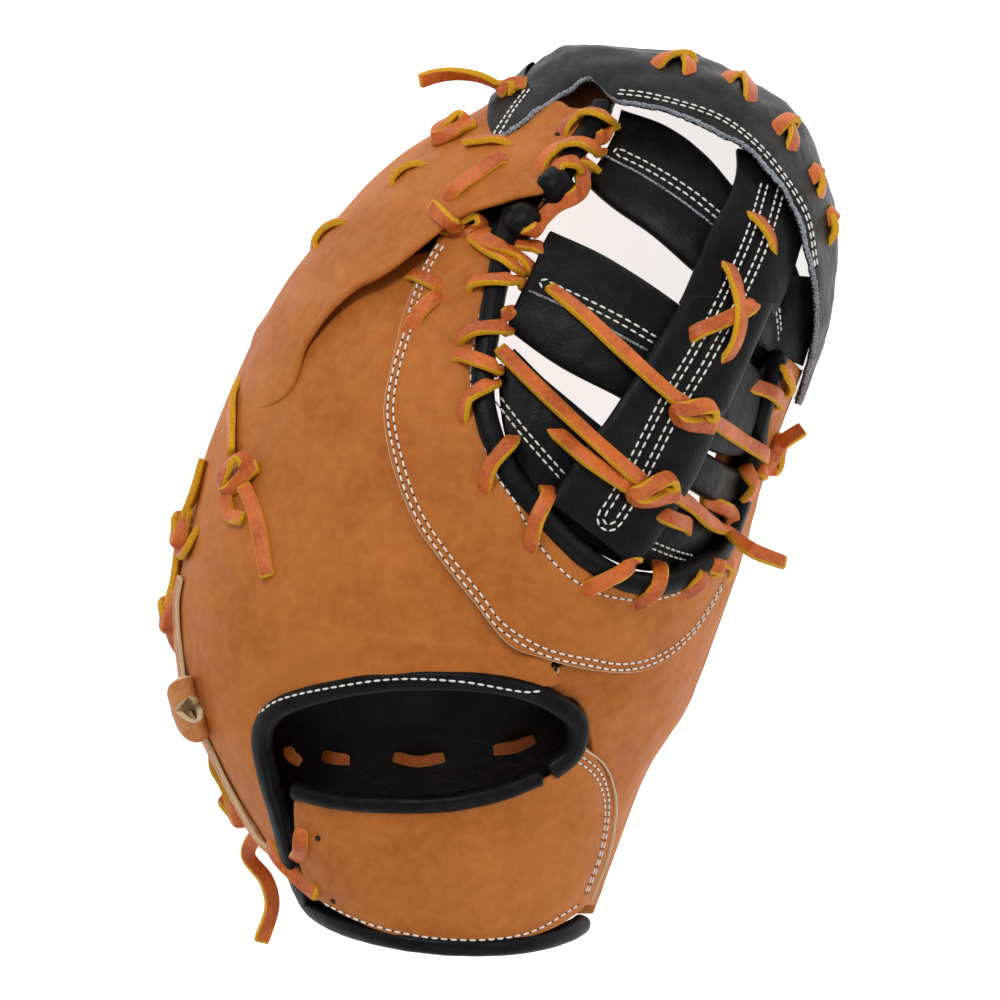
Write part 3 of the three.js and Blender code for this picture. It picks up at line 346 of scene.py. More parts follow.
def sweep(shape, points, normals, section, closed=False, raw=0.0, size=None, twist=None, blunt=BLUNT):
    """Carries a section of across and up along a line, with softly blunted ends."""
    ahead, side, up = frames_of(points, normals, closed)
    if twist is not None:
        c, s = np.cos(twist)[:, None], np.sin(twist)[:, None]
        side, up = side * c + up * s, up * c - side * s
    size = np.ones(len(points)) if size is None else size
    if not closed and blunt:
        size = size.copy()
        size[[0, -1]] *= 1 - blunt
    offset = section[None] * size[:, None, None]
    rings = (points[:, None] + side[:, None] * offset[..., :1] + up[:, None] * offset[..., 1:])
    n, k = rings.shape[:2]
    quads = grid_quads(n, k, wrap=True)
    if closed:
        last = (n - 1) * k + np.arange(k)
        nxt = (n - 1) * k + (np.arange(k) + 1) % k
        first = np.arange(k)
        quads = np.vstack([quads, np.stack([last, nxt, (first + 1) % k, first], -1)])
        return shape.add(rings.reshape(-1, 3), quads, raw=np.tile(raw, n))
    verts = np.vstack([rings.reshape(-1, 3), rings[0].mean(0), rings[-1].mean(0)])
    i = np.arange(k)
    j = (i + 1) % k
    head = np.stack([j, i, np.full(k, n * k)], -1)
    tail = np.stack([(n - 1) * k + i, (n - 1) * k + j, np.full(k, n * k + 1)], -1)
    marks = np.r_[np.tile(raw, n) if np.ndim(raw) else np.full(n * k, raw), 1.0, 1.0]
    if np.ndim(raw):
        marks[:k] = 1
        marks[(n - 1) * k:n * k] = 1
    return shape.add(verts, quads, np.vstack([head, tail]), raw=marks)


def to_sight(points):
    """Places of the photo's thousand-wide square, x to the right and y down."""
    return in_sight(points) * [1000, -1000] + 500


def line_distance(spots, line):
    """How far each spot lies from a curve through the line's rows, in the same square."""
    curve = spline(np.array(line, float)[:, :2], 30 * len(line))
    best = np.full(len(spots), np.inf)
    for start in range(0, len(curve), 60):
        gap = spots[:, None] - curve[None, start:start + 60]
        best = np.minimum(best, (gap**2).sum(-1).min(1))
    return np.sqrt(best)


class Relief:
    """What presses into a leather and swells it, and how deep each place is pressed in, which marks painted
    shade there. Grooves are (line, width, depth).
    """

    def __init__(self, seed, grooves=(), dents=(), swell=0.35, wave=42):
        self.seed, self.grooves, self.dents = seed, grooves, dents
        self.swell, self.wave = swell, wave

    def at(self, points):
        shape = points.shape[:-1]
        flat = points.reshape(-1, 3)
        spots = to_sight(flat)
        height = ripple(flat, self.seed, self.swell, self.wave)
        height += ripple(flat, self.seed + 1, self.swell * 0.25, self.wave / 4)
        crease = np.zeros(len(flat))
        for line, width, depth in self.grooves:
            press = np.exp(-(line_distance(spots, line) / width) ** 2)
            height -= depth * press
            crease = np.maximum(crease, press * min(abs(depth), 1) * (depth > 0))
        for x, y, radius, depth in self.dents:
            press = np.exp(-((spots - [x, y]) ** 2).sum(-1) / radius**2)
            height -= depth * press
            crease = np.maximum(crease, press * min(depth, 1))
        return height.reshape(shape), crease.reshape(shape)


# Columns close to a panel's two edges, in mm, and the shares of a narrow panel that they may take
EDGE_STEPS = np.array([[0, 0.12, 0.35, 0.7, 1.1, 1.6]])
NARROW, NARROW_SHARE = 8, 0.2
# Shares of the thickness that an edge may lose above and below
TOP_DROP, UNDER_RISE = 0.75, 0.2
# How far from a cut edge its raw mark fades, and its fray ends, in mm
RAW_FADE, FRAY_REACH = (0.15, 0.6), 1.6
# Where a panel's right end stands on the ground: beyond this u, or through this stretch of v
FOOT_U, FOOT_V = 0.9, (0.955, 0.985)


def between(a, b, w):
    """Shares u and v at the shares w of the way from the places a to the places b."""
    return [a[:, k:k + 1] + (b[:, k:k + 1] - a[:, k:k + 1]) * w for k in (0, 1)]


def panel(shape, left, right, along, across, thick=LEATHER, fade=1.0, foot=None, relief=None,
          raw=(False, False), rounding=(None, None), raw_under=1.0, fray=0.0):
    """A leather panel between two lines of places, rounded along both and frayed on its left."""
    a, b = smooth_line(places(left), along), smooth_line(places(right), along)
    ends = [lifted(outer, e[:, 0], e[:, 1], e[:, 2]) for e in (a, b)]
    width = np.maximum(length(ends[0] - ends[1]), 0.5)[:, None]
    edge = np.minimum(EDGE_STEPS, width * NARROW_SHARE * EDGE_STEPS / EDGE_STEPS[0, -1])
    edge = np.where(width > NARROW, EDGE_STEPS, edge)
    low, high = edge[:, -1:] / width, 1 - edge[:, -1:] / width
    middle = low + (high - low) * np.linspace(0, 1, across)[None, 1:-1]
    w = np.concatenate([edge / width, middle, 1 - edge[:, ::-1] / width], 1)
    u, v = between(a, b, w)
    lift = b[:, 2:] + (a[:, 2:] - b[:, 2:]) * (1 - w) ** fade
    skin, normal = outer(u, v), normal_of(outer, u, v)
    upper = skin + normal * lift[..., None]
    swell, crease = relief.at(upper) if relief else (0 * w, 0 * w)
    drop, marks = 0 * w, 0 * w
    for d, is_raw, radius in zip((w * width, (1 - w) * width), raw, rounding):
        r = radius or thick / 2
        d = np.minimum(d, r)
        drop = np.maximum(drop, r - np.sqrt(np.maximum(r * r - (r - d) ** 2, 0)))
        if is_raw:
            marks = np.maximum(marks, 1 - smoothstep(d, *RAW_FADE))
    drop = np.minimum(drop, thick * TOP_DROP)
    top = upper + normal * (swell - drop)[..., None]
    under = upper + normal * (swell - thick + np.minimum(drop, thick * UNDER_RISE))[..., None]
    if fray:
        fading = 1 - smoothstep(w * width, 0, FRAY_REACH)
        outward = unit(top[:, :1] - top[:, 8:9]) * fading[..., None]
        for grid in (top, under):
            grid += outward * (ripple(grid, 61, fray, 2.2) + ripple(grid, 62, fray, 9))[..., None]
    if foot is not None:
        ended = np.maximum(b[:, :1] > FOOT_U, smoothstep(b[:, 1:2], *FOOT_V))
        down = smoothstep(w, 0.75, 1) * ended
        for grid in (top, under):
            grid[..., 2] += (foot - grid[..., 2]) * down
    return sheet_shape(shape, top, under, raw=marks, crease=crease, raw_under=raw_under)


def on_skin(spots):
    """Points and normals at rows of u, v and lift."""
    u, v, lift = np.array(spots, float).T
    return lifted(outer, u, v, lift), normal_of(outer, u, v)


def skin_line(rows, steps):
    return on_skin(smooth_line(places(rows), steps))


# How many radii of a knob its neck reaches to, and the corners of a roll's section
KNOB_NECK, ROLL_SIDES = 2.6, 28


def roll(shape, points, normals, width, height, seed, power=2.5, wrinkle=0.02, knobs=(0, 0)):
    """A stuffed roll of leather with uneven wrinkles across it, and a round knob at an end."""
    size = 1 + ripple(points, seed, wrinkle, 9) + ripple(points, seed + 1, wrinkle, 30)
    run = run_of(points)
    for knob, away in zip(knobs, (run, run[-1] - run)):
        if not knob:
            continue
        radius = width / 2 * knob
        ball = knob * np.sqrt(np.clip(1 - (1 - np.minimum(away / radius, 1)) ** 2, 0.02, 1))
        end = KNOB_NECK * radius
        neck = knob + (1 - knob) * smoothstep(away, radius, end)
        size = np.where(away < radius, ball, np.where(away < end, size * neck, size))
    section = superellipse(width, height, ROLL_SIDES, power)
    return sweep(shape, points, normals, section, size=size, blunt=0 if any(knobs) else BLUNT)


def flat_tube(shape, left, right, along, height, seed, sides=56, swell=0.45):
    """A hollow flat tube of leather between two lines of places."""
    a, b = smooth_line(places(left), along), smooth_line(places(right), along)
    width = length(outer(a[:, 0], a[:, 1]) - outer(b[:, 0], b[:, 1]))[:, None]
    angle = (np.arange(sides) + 0.5) / sides * 2 * np.pi
    share = np.sign(np.cos(angle)) * np.abs(np.cos(angle)) ** 0.6
    rise = np.sign(np.sin(angle)) * np.abs(np.sin(angle)) ** 0.8
    skins = []
    for wall in (0.0, BAR_WALL):
        w = 0.5 + share[None] * (0.5 - wall / width)
        u, v = between(a, b, w)
        lift = a[:, 2:] + (b[:, 2:] - a[:, 2:]) * w + rise[None] * (height / 2 - wall)
        points = lifted(outer, u, v, lift)
        uneven = ripple(points, seed, swell, 24) + ripple(points, seed + 1, swell * 0.3, 8)
        skins.append(points + normal_of(outer, u, v) * (uneven * rise[None])[..., None])
    rows = along + 1
    size = rows * sides
    outside = grid_quads(rows, sides, wrap=True)
    inside = grid_quads(rows, sides, size, wrap=True)[:, ::-1]
    k = np.arange(sides)
    nxt = (k + 1) % sides
    caps = [np.stack([k, k + size, nxt + size, nxt], -1) + base for base in (0, along * sides)]
    verts = np.concatenate([skin.reshape(-1, 3) for skin in skins])
    return shape.add(verts, np.vstack([outside, inside, caps[0], caps[1][:, ::-1]]))


# Places on what is already built, found straight down from the sight
EYE = np.array([0.0, 0.0, SIGHT_HEIGHT])
MISSED = 6.0


def drape(rows, trees):
    """Points and normals under rows of x, y, lift and an optional fixed height."""
    points, normals = [], []
    for row in rows:
        across, up = row[0] - 500, 500 - row[1]
        x, y = across / 1000, up / 1000
        lift = row[2] if len(row) > 2 else 0.0
        if len(row) > 3:
            points.append(sighted(x, y, row[3]))
            normals.append(np.array([0, 0, 1.0]))
            continue
        aim = unit(sighted(x, y, 0.0) - EYE)
        hits = [tree.ray_cast(Vector(EYE), Vector(aim)) for tree in trees]
        hits = [hit for hit in hits if hit[0] is not None]
        if hits:
            point, normal, _, _ = min(hits, key=lambda hit: hit[3])
            normal = np.array(normal if normal.z > 0 else -normal)
            points.append(np.array(point) + normal * lift)
            normals.append(normal)
        else:
            # Over a gap of the web, a place lies MISSED below the mitt's skin
            spot = seen([[across, up, lift - MISSED]])[0]
            points.append(lifted(outer, *spot))
            normals.append(normal_of(outer, spot[0], spot[1]))
    return np.array(points), unit(np.array(normals))


def smoothed(values, turns):
    for _ in range(turns):
        values = np.vstack([values[:1], (values[:-2] + 2 * values[1:-1] + values[2:]) / 4, values[-1:]])
    return values


# Stitching: one small arched capsule for each stitch
STITCH_PITCH, STITCH_LENGTH, STITCH_LIFT, THREAD = 3.4, 2.4, 0.08, 0.8
HOLE_SHARE = np.array([0.42, 0.85, 0.5])


def capsule():
    sides, rings = 7, 5
    slope = np.linspace(-1, 1, rings) * np.pi * 0.42
    angle = np.arange(sides) / sides * 2 * np.pi
    ring = np.stack([0 * angle, np.cos(angle), np.sin(angle)], -1) * THREAD / 2
    verts = []
    for s in slope:
        part = ring * [1, np.cos(s) ** 0.6, np.cos(s) ** 0.6]
        part = part + [np.sin(s) / np.sin(slope[-1]) * STITCH_LENGTH / 2, 0, 0.1 * np.cos(s)]
        verts.append(part)
    tip = STITCH_LENGTH / 2 + 0.1
    verts = np.vstack([*verts, [[-tip, 0, -0.1], [tip, 0, -0.1]]])
    quads = grid_quads(rings, sides, wrap=True)
    i = np.arange(sides)
    j = (i + 1) % sides
    n = rings * sides
    tris = np.vstack([np.stack([j, i, 0 * i + n], -1),
                      np.stack([n - sides + i, n - sides + j, 0 * i + n + 1], -1)])
    return verts, quads, tris


CAPSULE = capsule()


def turned(curve, half):
    """One line down a curve's side, round its first place and back along its other side."""
    ahead = unit(np.gradient(curve, axis=0))
    side = np.stack([-ahead[:, 1], ahead[:, 0]], -1) * half
    angle = np.linspace(0, np.pi, 9)[1:-1, None]
    end = curve[0] + side[0] * np.cos(angle) - ahead[0] * half * np.sin(angle)
    return np.vstack([(curve + side)[::-1], end, curve - side])


def along_line(line, trees, steps, lift=0.0, turn=0.0, turns=6):
    """Smoothed points and normals on what lies under a curve through the line's places."""
    curve = spline(np.array(line, float)[:, :2], steps * len(line))
    if turn:
        curve = turned(curve, turn)
    points, normals = drape([(*spot, lift) for spot in curve], trees)
    return smoothed(points, turns), unit(smoothed(normals, 8))


def stitches(shape, holes, line, trees, offsets, turn=0.0):
    """Rows of stitches beside a curve through the line's places, with a small dark mark of painted shade for
    the hole between two.
    """
    points, normals = along_line(line, trees, 14, turn=turn, turns=1 if turn else 6)
    _, side, _ = frames_of(points, normals)
    for offset in offsets:
        row = points + side * offset
        spots = resample(row, STITCH_PITCH)
        facing = np.stack([np.interp(np.arange(len(spots)) / max(len(spots) - 1, 1),
                                     np.linspace(0, 1, len(normals)), normals[:, k])
                           for k in range(3)], -1)
        if len(spots) < 2:
            continue
        ahead, across, up = frames_of(spots, unit(facing))
        verts, quads, tris = CAPSULE
        for k, spot in enumerate(spots):
            basis = np.stack([ahead[k], across[k], up[k]])
            shape.add(spot + up[k] * STITCH_LIFT + verts @ basis, quads, tris)
            pricked = spot + ahead[k] * STITCH_PITCH / 2 + verts * HOLE_SHARE @ basis
            holes.add(pricked, quads, tris)


# Lacing: a flat strip, orange on the grain side and mustard on its cut edges and back
LACE_SECTION = superellipse(LACE_WIDTH, LACE_THICK, 20, 5)
LACE_TILT = 0.45
LACE_RAW = np.clip(1.25 - (LACE_SECTION[:, 1] / (LACE_THICK / 2) + 1) * 0.68, 0, 1)
LACE_RAW = np.where(np.abs(LACE_SECTION[:, 0]) > LACE_WIDTH * 0.46, 1.0, LACE_RAW)
# Lifts in mm of a lace's end in its hole, and of its middle on the leather
IN, ON = -4.0, 1.1


def lace(shape, points, normals, seed, steps=None, width=1.0, tight=2, twist=None, tilt=LACE_TILT):
    steps = steps or max(8, 7 * len(points))
    path = spline(points, steps)
    facing = unit(smoothed(spline(normals, steps), tight))
    size = 1 + ripple(path, seed + 11, 0.05, 22)
    section = LACE_SECTION * [width, 1]
    turn = tilt + ripple(path, seed + 5, 0.12, 30)
    if twist is not None:
        turn = turn + np.interp(np.linspace(0, 1, len(path)), np.linspace(0, 1, len(twist)), twist)
    sweep(shape, path, facing, section, raw=LACE_RAW, size=size, twist=turn, blunt=0.08)


def laid(shape, rows, trees, **options):
    """A lace through rows of x, y and lift. Left out, the lift is IN at an end, otherwise ON."""
    last = len(rows) - 1
    rows = [row if len(row) > 2 else (*row, ON if 0 < k < last else IN) for k, row in enumerate(rows)]
    lace(shape, *drape(rows, trees), **options)


def ring(shape, centre, along, up, across_mm, up_mm, width, lean, seed):
    """One turn of lace round the strands of a knot, its strip lying along them."""
    side = unit(np.cross(up, along))
    angle = np.linspace(0, 2 * np.pi, 29)[:-1]
    c, s = np.cos(angle)[:, None], np.sin(angle)[:, None]
    spots = centre + c * side * across_mm + s * up * up_mm + (c * lean) * along
    out = unit(c * side / across_mm + s * up / up_mm)
    size = 1 + ripple(spots, seed, 0.06, 12)
    sweep(shape, spots, out, LACE_SECTION * [width, 1], closed=True, raw=LACE_RAW, size=size)


KNOT_LIFT = 0.6
# An overhand knot of flat lace: along, side and up in mm, then the way its grain side faces
KNOT = np.array([
    (-11, 0.6, 0.4, 0, 0, 1), (-6, 0.4, 0.8, 0, 0, 1), (0, -0.6, 1.2, 0, 0, 1),
    (5.2, -1.6, 2, 0.4, -0.6, 0.7), (7.6, 0.9, 3.4, 1, 0, 0.3), (5, 3.6, 4.6, 0.3, 0.8, 0.5),
    (0, 2.2, 5.4, 0, 0.35, 0.9), (-5, -1.4, 5, -0.3, -0.4, 0.8), (-7.6, -3.6, 3.2, -1, -0.3, 0.3),
    (-4.5, -5.6, 2.4, -0.2, -0.9, 0.4), (1, -5, 2.4, 0.1, -0.7, 0.7), (6, -3, 2, 0, -0.3, 0.9),
    (11, -1.6, 0.6, 0, 0, 1),
])


def knot_at(shape, place, up, direction, size, seed):
    flat = np.array([math.cos(direction), math.sin(direction), 0.0])
    along = unit(flat - up * flat.dot(up))
    basis = np.stack([along, np.cross(up, along), up])
    spots = place + KNOT[:, :3] @ basis * size
    lace(shape, spots, unit(KNOT[:, 3:] @ basis), steps=110, seed=seed, tight=3, tilt=0.0)


def knot(shape, x, y, direction, trees, size, seed):
    points, normals = drape([(x, y, KNOT_LIFT)], trees)
    knot_at(shape, points[0], normals[0], direction, size, seed)


# Materials
def node(tree, kind, inputs, **settings):
    """A new node whose inputs are linked where a socket is given, and set where a value is."""
    made = tree.nodes.new(kind)
    for key, value in settings.items():
        setattr(made, key, value)
    for key, value in inputs.items():
        if isinstance(value, bpy.types.NodeSocket):
            tree.links.new(value, made.inputs[key])
        else:
            made.inputs[key].default_value = value
    return made


def mix(tree, factor, a, b):
    return node(tree, "ShaderNodeMix", {0: factor, 6: a, 7: b}, data_type="RGBA").outputs[2]


def spread(tree, value, low, high, to_low=0.0, to_high=1.0):
    return node(tree, "ShaderNodeMapRange", {
        "Value": value, "From Min": low, "From Max": high, "To Min": to_low, "To Max": to_high,
    }, interpolation_type="SMOOTHSTEP").outputs[0]


def multiply(tree, a, b):
    return node(tree, "ShaderNodeMath", {0: a, 1: b}, operation="MULTIPLY").outputs[0]


def add(tree, a, b):
    return node(tree, "ShaderNodeMath", {0: a, 1: b}, operation="ADD").outputs[0]


def rgb(red, green, blue):
    """A linear colour from the eight-bit numbers of a display colour."""
    def linear(c):
        c /= 255
        return c / 12.92 if c <= 0.04045 else ((c + 0.055) / 1.055) ** 2.4
    return (linear(red), linear(green), linear(blue), 1.0)


def blank(name):
    """A new material, its nodes, its shader and the place of each point on the piece."""
    made = bpy.data.materials.new(name)
    made.use_nodes = True
    tree = made.node_tree
    place = node(tree, "ShaderNodeTexCoord", {}).outputs["Object"]
    return made, tree, tree.nodes["Principled BSDF"], place


def leather(name, base, dark, light, raw, rough=(0.5, 0.66), grain=0.9, bump=0.18,
            mottle=24.0, scuff=0.25, specular=0.4, fuzz=0.5, fray=0.72):
    """Grained leather: mottled, scuffed, darkened in its creases and dents as painted shade, with a fibrous
    cut edge.
    """
    made, tree, shader, place = blank(name)
    shader.inputs["Specular IOR Level"].default_value = specular

    def noise(scale, detail=4.0, roughness=0.55, vector=place):
        return node(tree, "ShaderNodeTexNoise", {
            "Vector": vector, "Scale": scale, "Detail": detail, "Roughness": roughness,
        }).outputs["Fac"]

    def mark(key):
        return node(tree, "ShaderNodeAttribute", {}, attribute_name=key).outputs["Fac"]

    broad = spread(tree, noise(mottle), 0.34, 0.66)
    small = spread(tree, noise(mottle * 9, 5), 0.3, 0.7)
    colour = mix(tree, broad, dark, base)
    colour = mix(tree, multiply(tree, small, 0.35), colour, light)
    stretched = node(tree, "ShaderNodeMapping", {
        "Vector": place, "Scale": (1.0, 0.16, 0.5), "Rotation": (0.2, 0.3, 0.5),
    }).outputs[0]
    streak = spread(tree, noise(240, 6, 0.62, stretched), 0.6, 0.74)
    colour = mix(tree, multiply(tree, streak, scuff), colour, light)
    pores = noise(900, 2, 0.5)
    colour = mix(tree, spread(tree, pores, 0.62, 0.72, 0, 0.22), colour, dark)
    # Painted shade: darker where seams, creases and dents press the leather in
    colour = mix(tree, multiply(tree, mark("crease"), 0.45), colour, dark)
    fibre = noise(1500, 3, 0.7)
    frayed = mix(tree, spread(tree, fibre, 0.3, 0.75), [c * fray for c in raw[:3]] + [1], raw)
    ragged = add(tree, mark("raw"), spread(tree, fibre, 0.3, 0.7, -0.15 * fuzz, 0.15 * fuzz))
    edge = spread(tree, ragged, 0.35, 0.65)
    colour = mix(tree, edge, colour, frayed)
    tree.links.new(colour, shader.inputs["Base Color"])
    finish = spread(tree, noise(90, 4), 0.3, 0.7, *rough)
    finish = add(tree, finish, multiply(tree, edge, 0.3))
    tree.links.new(finish, shader.inputs["Roughness"])
    cells = node(tree, "ShaderNodeTexVoronoi", {
        "Vector": place, "Scale": 1000 / grain, "Smoothness": 0.6, "Randomness": 1.0,
    }, feature="SMOOTH_F1").outputs["Distance"]
    height = add(tree, multiply(tree, cells, -0.5), multiply(tree, noise(330, 5, 0.65), 1.3))
    height = add(tree, height, multiply(tree, fibre, edge))
    press = node(tree, "ShaderNodeBump", {"Strength": bump, "Distance": 0.0012, "Height": height})
    tree.links.new(press.outputs[0], shader.inputs["Normal"])
    return made


CREAM = rgb(226, 205, 170)
TAN = leather("tan_leather", rgb(182, 105, 41), rgb(165, 90, 31), rgb(200, 125, 57),
              CREAM, rough=(0.56, 0.7), specular=0.2)
TAN_PALM = leather("tan_palm_leather", rgb(178, 108, 50), rgb(158, 90, 38),
                   rgb(196, 128, 68), CREAM, rough=(0.58, 0.72), specular=0.2, mottle=18)
BLACK = leather("black_leather", rgb(15, 14, 15), rgb(8, 7, 8), rgb(32, 31, 32),
                rgb(184, 190, 198), rough=(0.36, 0.5), bump=0.16, scuff=0.12, grain=0.8, specular=0.11,
                fuzz=2.4, fray=0.26)
LINING = leather("lining_leather", rgb(13, 12, 12), rgb(6, 6, 6), rgb(30, 28, 28),
                 rgb(60, 60, 62), rough=(0.55, 0.75), bump=0.4, scuff=0.15, specular=0.25)
LACING = leather("lace_leather", rgb(202, 98, 34), rgb(162, 66, 18), rgb(224, 128, 50),
                 rgb(234, 172, 14), rough=(0.42, 0.6), bump=0.24, grain=0.6, mottle=70, scuff=0.35, fray=0.6)
THONG = leather("thong_leather", rgb(190, 120, 62), rgb(160, 92, 42),
                rgb(212, 148, 88), rgb(226, 200, 160), grain=0.6, mottle=60)


def plain(name, colour, rough, scale, bump=0.3):
    """Thread, holes and floor: one colour with a faint grain."""
    made, tree, shader, place = blank(name)
    noise = node(tree, "ShaderNodeTexNoise", {"Vector": place, "Scale": scale, "Detail": 3.0})
    grain = noise.outputs["Fac"]
    shade = mix(tree, spread(tree, grain, 0.3, 0.7), [c * 0.8 for c in colour[:3]] + [1], colour)
    tree.links.new(shade, shader.inputs["Base Color"])
    shader.inputs["Roughness"].default_value = rough
    press = node(tree, "ShaderNodeBump", {"Strength": bump, "Distance": 0.0003, "Height": grain})
    tree.links.new(press.outputs[0], shader.inputs["Normal"])
    return made


THREAD_WHITE = plain("white_thread", rgb(238, 236, 230), 0.7, 2400.0)
HOLE_DARK = plain("hole_shadow", rgb(22, 15, 11), 0.9, 900.0)

# Stage, light and camera
bpy.ops.mesh.primitive_plane_add(size=6, location=(0, 0, 0))
floor = bpy.context.object
floor.name = "floor"
glowing_floor = plain("pale_glowing_floor", rgb(238, 238, 238), 0.9, 6.0, 0.0)
# Painted light: the floor glows, so the shade under the web's gaps and the mitt's shadow on it wash out to
# white
glow = glowing_floor.node_tree.nodes["Principled BSDF"].inputs
glow["Emission Color"].default_value = (1, 1, 1, 1)
glow["Emission Strength"].default_value = 0.8
floor.data.materials.append(glowing_floor)
world = bpy.data.worlds.new("studio")
world.use_nodes = True
world.node_tree.nodes["Background"].inputs[0].default_value = (1, 1, 1, 1)
world.node_tree.nodes["Background"].inputs[1].default_value = 0.42
bpy.context.scene.world = world
bpy.context.scene.view_settings.view_transform = "Standard"


def soft_light(name, place, aim, power, size):
    data = bpy.data.lights.new(name, "AREA")
    data.energy, data.shape, data.size = power, "DISK", size
    lamp = bpy.data.objects.new(name, data)
    bpy.context.scene.collection.objects.link(lamp)
    lamp.location = place
    lamp.rotation_euler = (Vector(aim) - Vector(place)).to_track_quat("-Z", "Y").to_euler()


soft_light("key", (-0.45, 0.95, 1.25), (0, 0, 0.05), 11, 0.6)
soft_light("fill", (0.95, 0.1, 1.1), (0, 0, 0.05), 4.5, 0.8)
soft_light("heel", (0.1, -1.1, 0.9), (0, 0, 0.05), 3, 0.8)

lens = bpy.data.cameras.new("photo_camera")
lens.sensor_width, lens.lens = 36.0, 174.0
lens.clip_start, lens.clip_end = 0.05, 20
camera = bpy.data.objects.new("photo_camera", lens)
camera.location = (CENTRE[0] * MM, CENTRE[1] * MM, SIGHT_HEIGHT * MM)
bpy.context.scene.collection.objects.link(camera)
bpy.context.scene.camera = camera

# Black rolls round the back opening and on the strap's edges
OPENING_ROLL = [
    (-197, -405, -2), (-205, -370, -2), (-219, -322, -2), (-232, -276, -2), (-238, -238, -2),
    (-226, -212, -2), (-160, -188, -2), (-100, -180, -2), (-35, -180, -2), (20, -188, -2), (56, -203, -2),
    (78, -226, -2), (72, -252, -2), (50, -271, -2),
]
STRAP_TOP_ROLL = [
    (-205, -290, -2), (-165, -300, -2), (-108, -304, -2), (-48, -302, -2), (5, -290, -2), (40, -276, -2),
]
opening = roll(Shape(), *skin_line(OPENING_ROLL, 300), ROLL + 0.6, ROLL - 0.2, seed=3, power=2.7)
strap_top = roll(Shape(), *skin_line(STRAP_TOP_ROLL, 150), ROLL - 0.6, ROLL - 0.2, seed=5)
HEEL_ROLL = [(0.1 + 0.78 * share, 0.012, -2.0) for share in np.linspace(0, 1, 160)]
heel_roll = roll(Shape(), *on_skin(HEEL_ROLL), ROLL, ROLL, seed=7)

# The padded roll round the web's seat, and the wall behind it
WELT_TIP = [(102, 393, -2), (88, 368, -2), (70, 340, -2), (57, 317, -1), (44, 300, -0.5)]
WELT_LINE = [
    (36, 292, -0.5), (22, 278, -1), (4, 252, -2), (-5, 207, -2), (-12, 165, -2), (-17, 127, -2),
    (-15, 90, -2), (9, 27, -2), (54, -28, -2), (88, -59, -2), (122, -79, -2), (147, -84, -2),
    (199, -67, -2.4), (223, -46, -3.2), (235, -16, -3.8), (244, 13, -4.2), (253, 47, -4.4),
    (264, 100, -4.6), (280, 150, -4.6),
]
welt_tip = roll(Shape(), *skin_line(WELT_TIP, 140), WELT, WELT, seed=11, wrinkle=0.035, knobs=(0, 1.55))
welt = roll(Shape(), *skin_line(WELT_LINE, 700), WELT, WELT, seed=13, wrinkle=0.03, knobs=(1.55, 1))


def wall_along(shape, rows, steps, half):
    """A wall under a roll, from just inside it down to the palm, half as thick to each side."""
    u, v, _ = smooth_line(places(rows), steps).T
    top = lifted(outer, u, v, -2 - WELT / 2 + 1.0)
    foot = lifted(pocket, u, v, PALM_WALL)
    _, side, _ = frames_of(top, normal_of(outer, u, v))
    share = np.linspace(0, 1, 14)[None, :, None]
    nearer = (top - side * half)[:, None] * (1 - share) + (foot - side * half)[:, None] * share
    farther = nearer + (side * 2 * half)[:, None]
    bend = ripple(nearer, 17, 0.5, 22)[..., None] * side[:, None]
    return sheet_shape(shape, nearer + bend, farther + bend)


web_wall = wall_along(Shape(), WELT_TIP + WELT_LINE, 200, 0.8)

# Finger back. Lower rows: v at the rim, then x, y and lift. Upper rows: x, y, lift, then v at the rim.
# Tip rows: x, y, lift, then x and y at the tip.
FINGER_LOWER = [
    (0.02, -200, -400, 0), (0.085, -226, -322, 0), (0.14, -238, -276, 0), (0.19, -243, -232, 0),
    (0.22, -232, -208, 0), (0.245, -165, -184, 0), (0.27, -103, -176, 0), (0.3, -35, -176, 0),
    (0.325, 30, -186, 0), (0.35, 52, -165, -1), (0.362, 30, -143, TUCK), (0.375, 0, -130, TUCK),
    (0.4, -15, -97, TUCK), (0.42, -50, -53, TUCK), (0.45, -74, -17, TUCK), (0.48, -96, 45, TUCK),
    (0.505, -100, 100, TUCK), (0.525, -95, 140, TUCK), (0.545, -80, 205, TUCK), (0.565, -52, 256, TUCK),
]
FINGER_UPPER = [
    (-278, 72, -2.6, 0.475), (-226, 98, -0.9, 0.555), (-194, 160, 1.5, 0.605), (-150, 210, 4.0, 0.66),
    (-100, 240, 5.4, 0.725), (-44, 284, 5.8, 0.79), (0, 299, 5.5, 0.845), (37, 308, 4.5, 0.885),
]
FINGER_TIP = [
    (44, 312, 3, 10, 400), (50, 320, 1.5, 36, 398), (66, 340, 0.5, 60, 400), (78, 360, 0.2, 70, 394),
    (88, 375, 0, 80, 393), (96, 387, 0, 91, 392),
]
BACK_DENTS = [
    (242, 475, 12, 0.9), (405, 174, 12, -0.8), (330, 232, 12, -0.8), (252, 328, 12, -0.8),
    (238, 455, 8, 0.5), (402, 176, 7, 0.5), (428, 163, 7, 0.5), (330, 228, 8, 0.5),
    (262, 306, 8, 0.5), (244, 352, 8, 0.5), (456, 134, 10, 0.5), (411, 273, 6, 0.7), (398, 340, 6, 0.7),
    (445, 200, 7, 0.6), (318, 838, 5, 0.8), (279, 873, 5, 0.8), (333, 901, 5, 0.8), (197, 709, 14, 0.8),
]
BACK_CREASES = [
    ([(274, 402), (262, 440), (250, 490)], 9, 0.5),
    ([(300, 560), (360, 600), (420, 612), (480, 640)], 14, 0.25),
    ([(262, 700), (300, 672), (400, 655), (500, 664), (560, 690)], 12, 0.45),
]
back_relief = Relief(21, BACK_CREASES, BACK_DENTS, swell=0.5, wave=55)
finger_back = panel(Shape(), [("uv", 0, row[0], 0) for row in FINGER_LOWER],
                    [row[1:] for row in FINGER_LOWER], 210, 120, relief=back_relief, rounding=(2.0, 1.2))
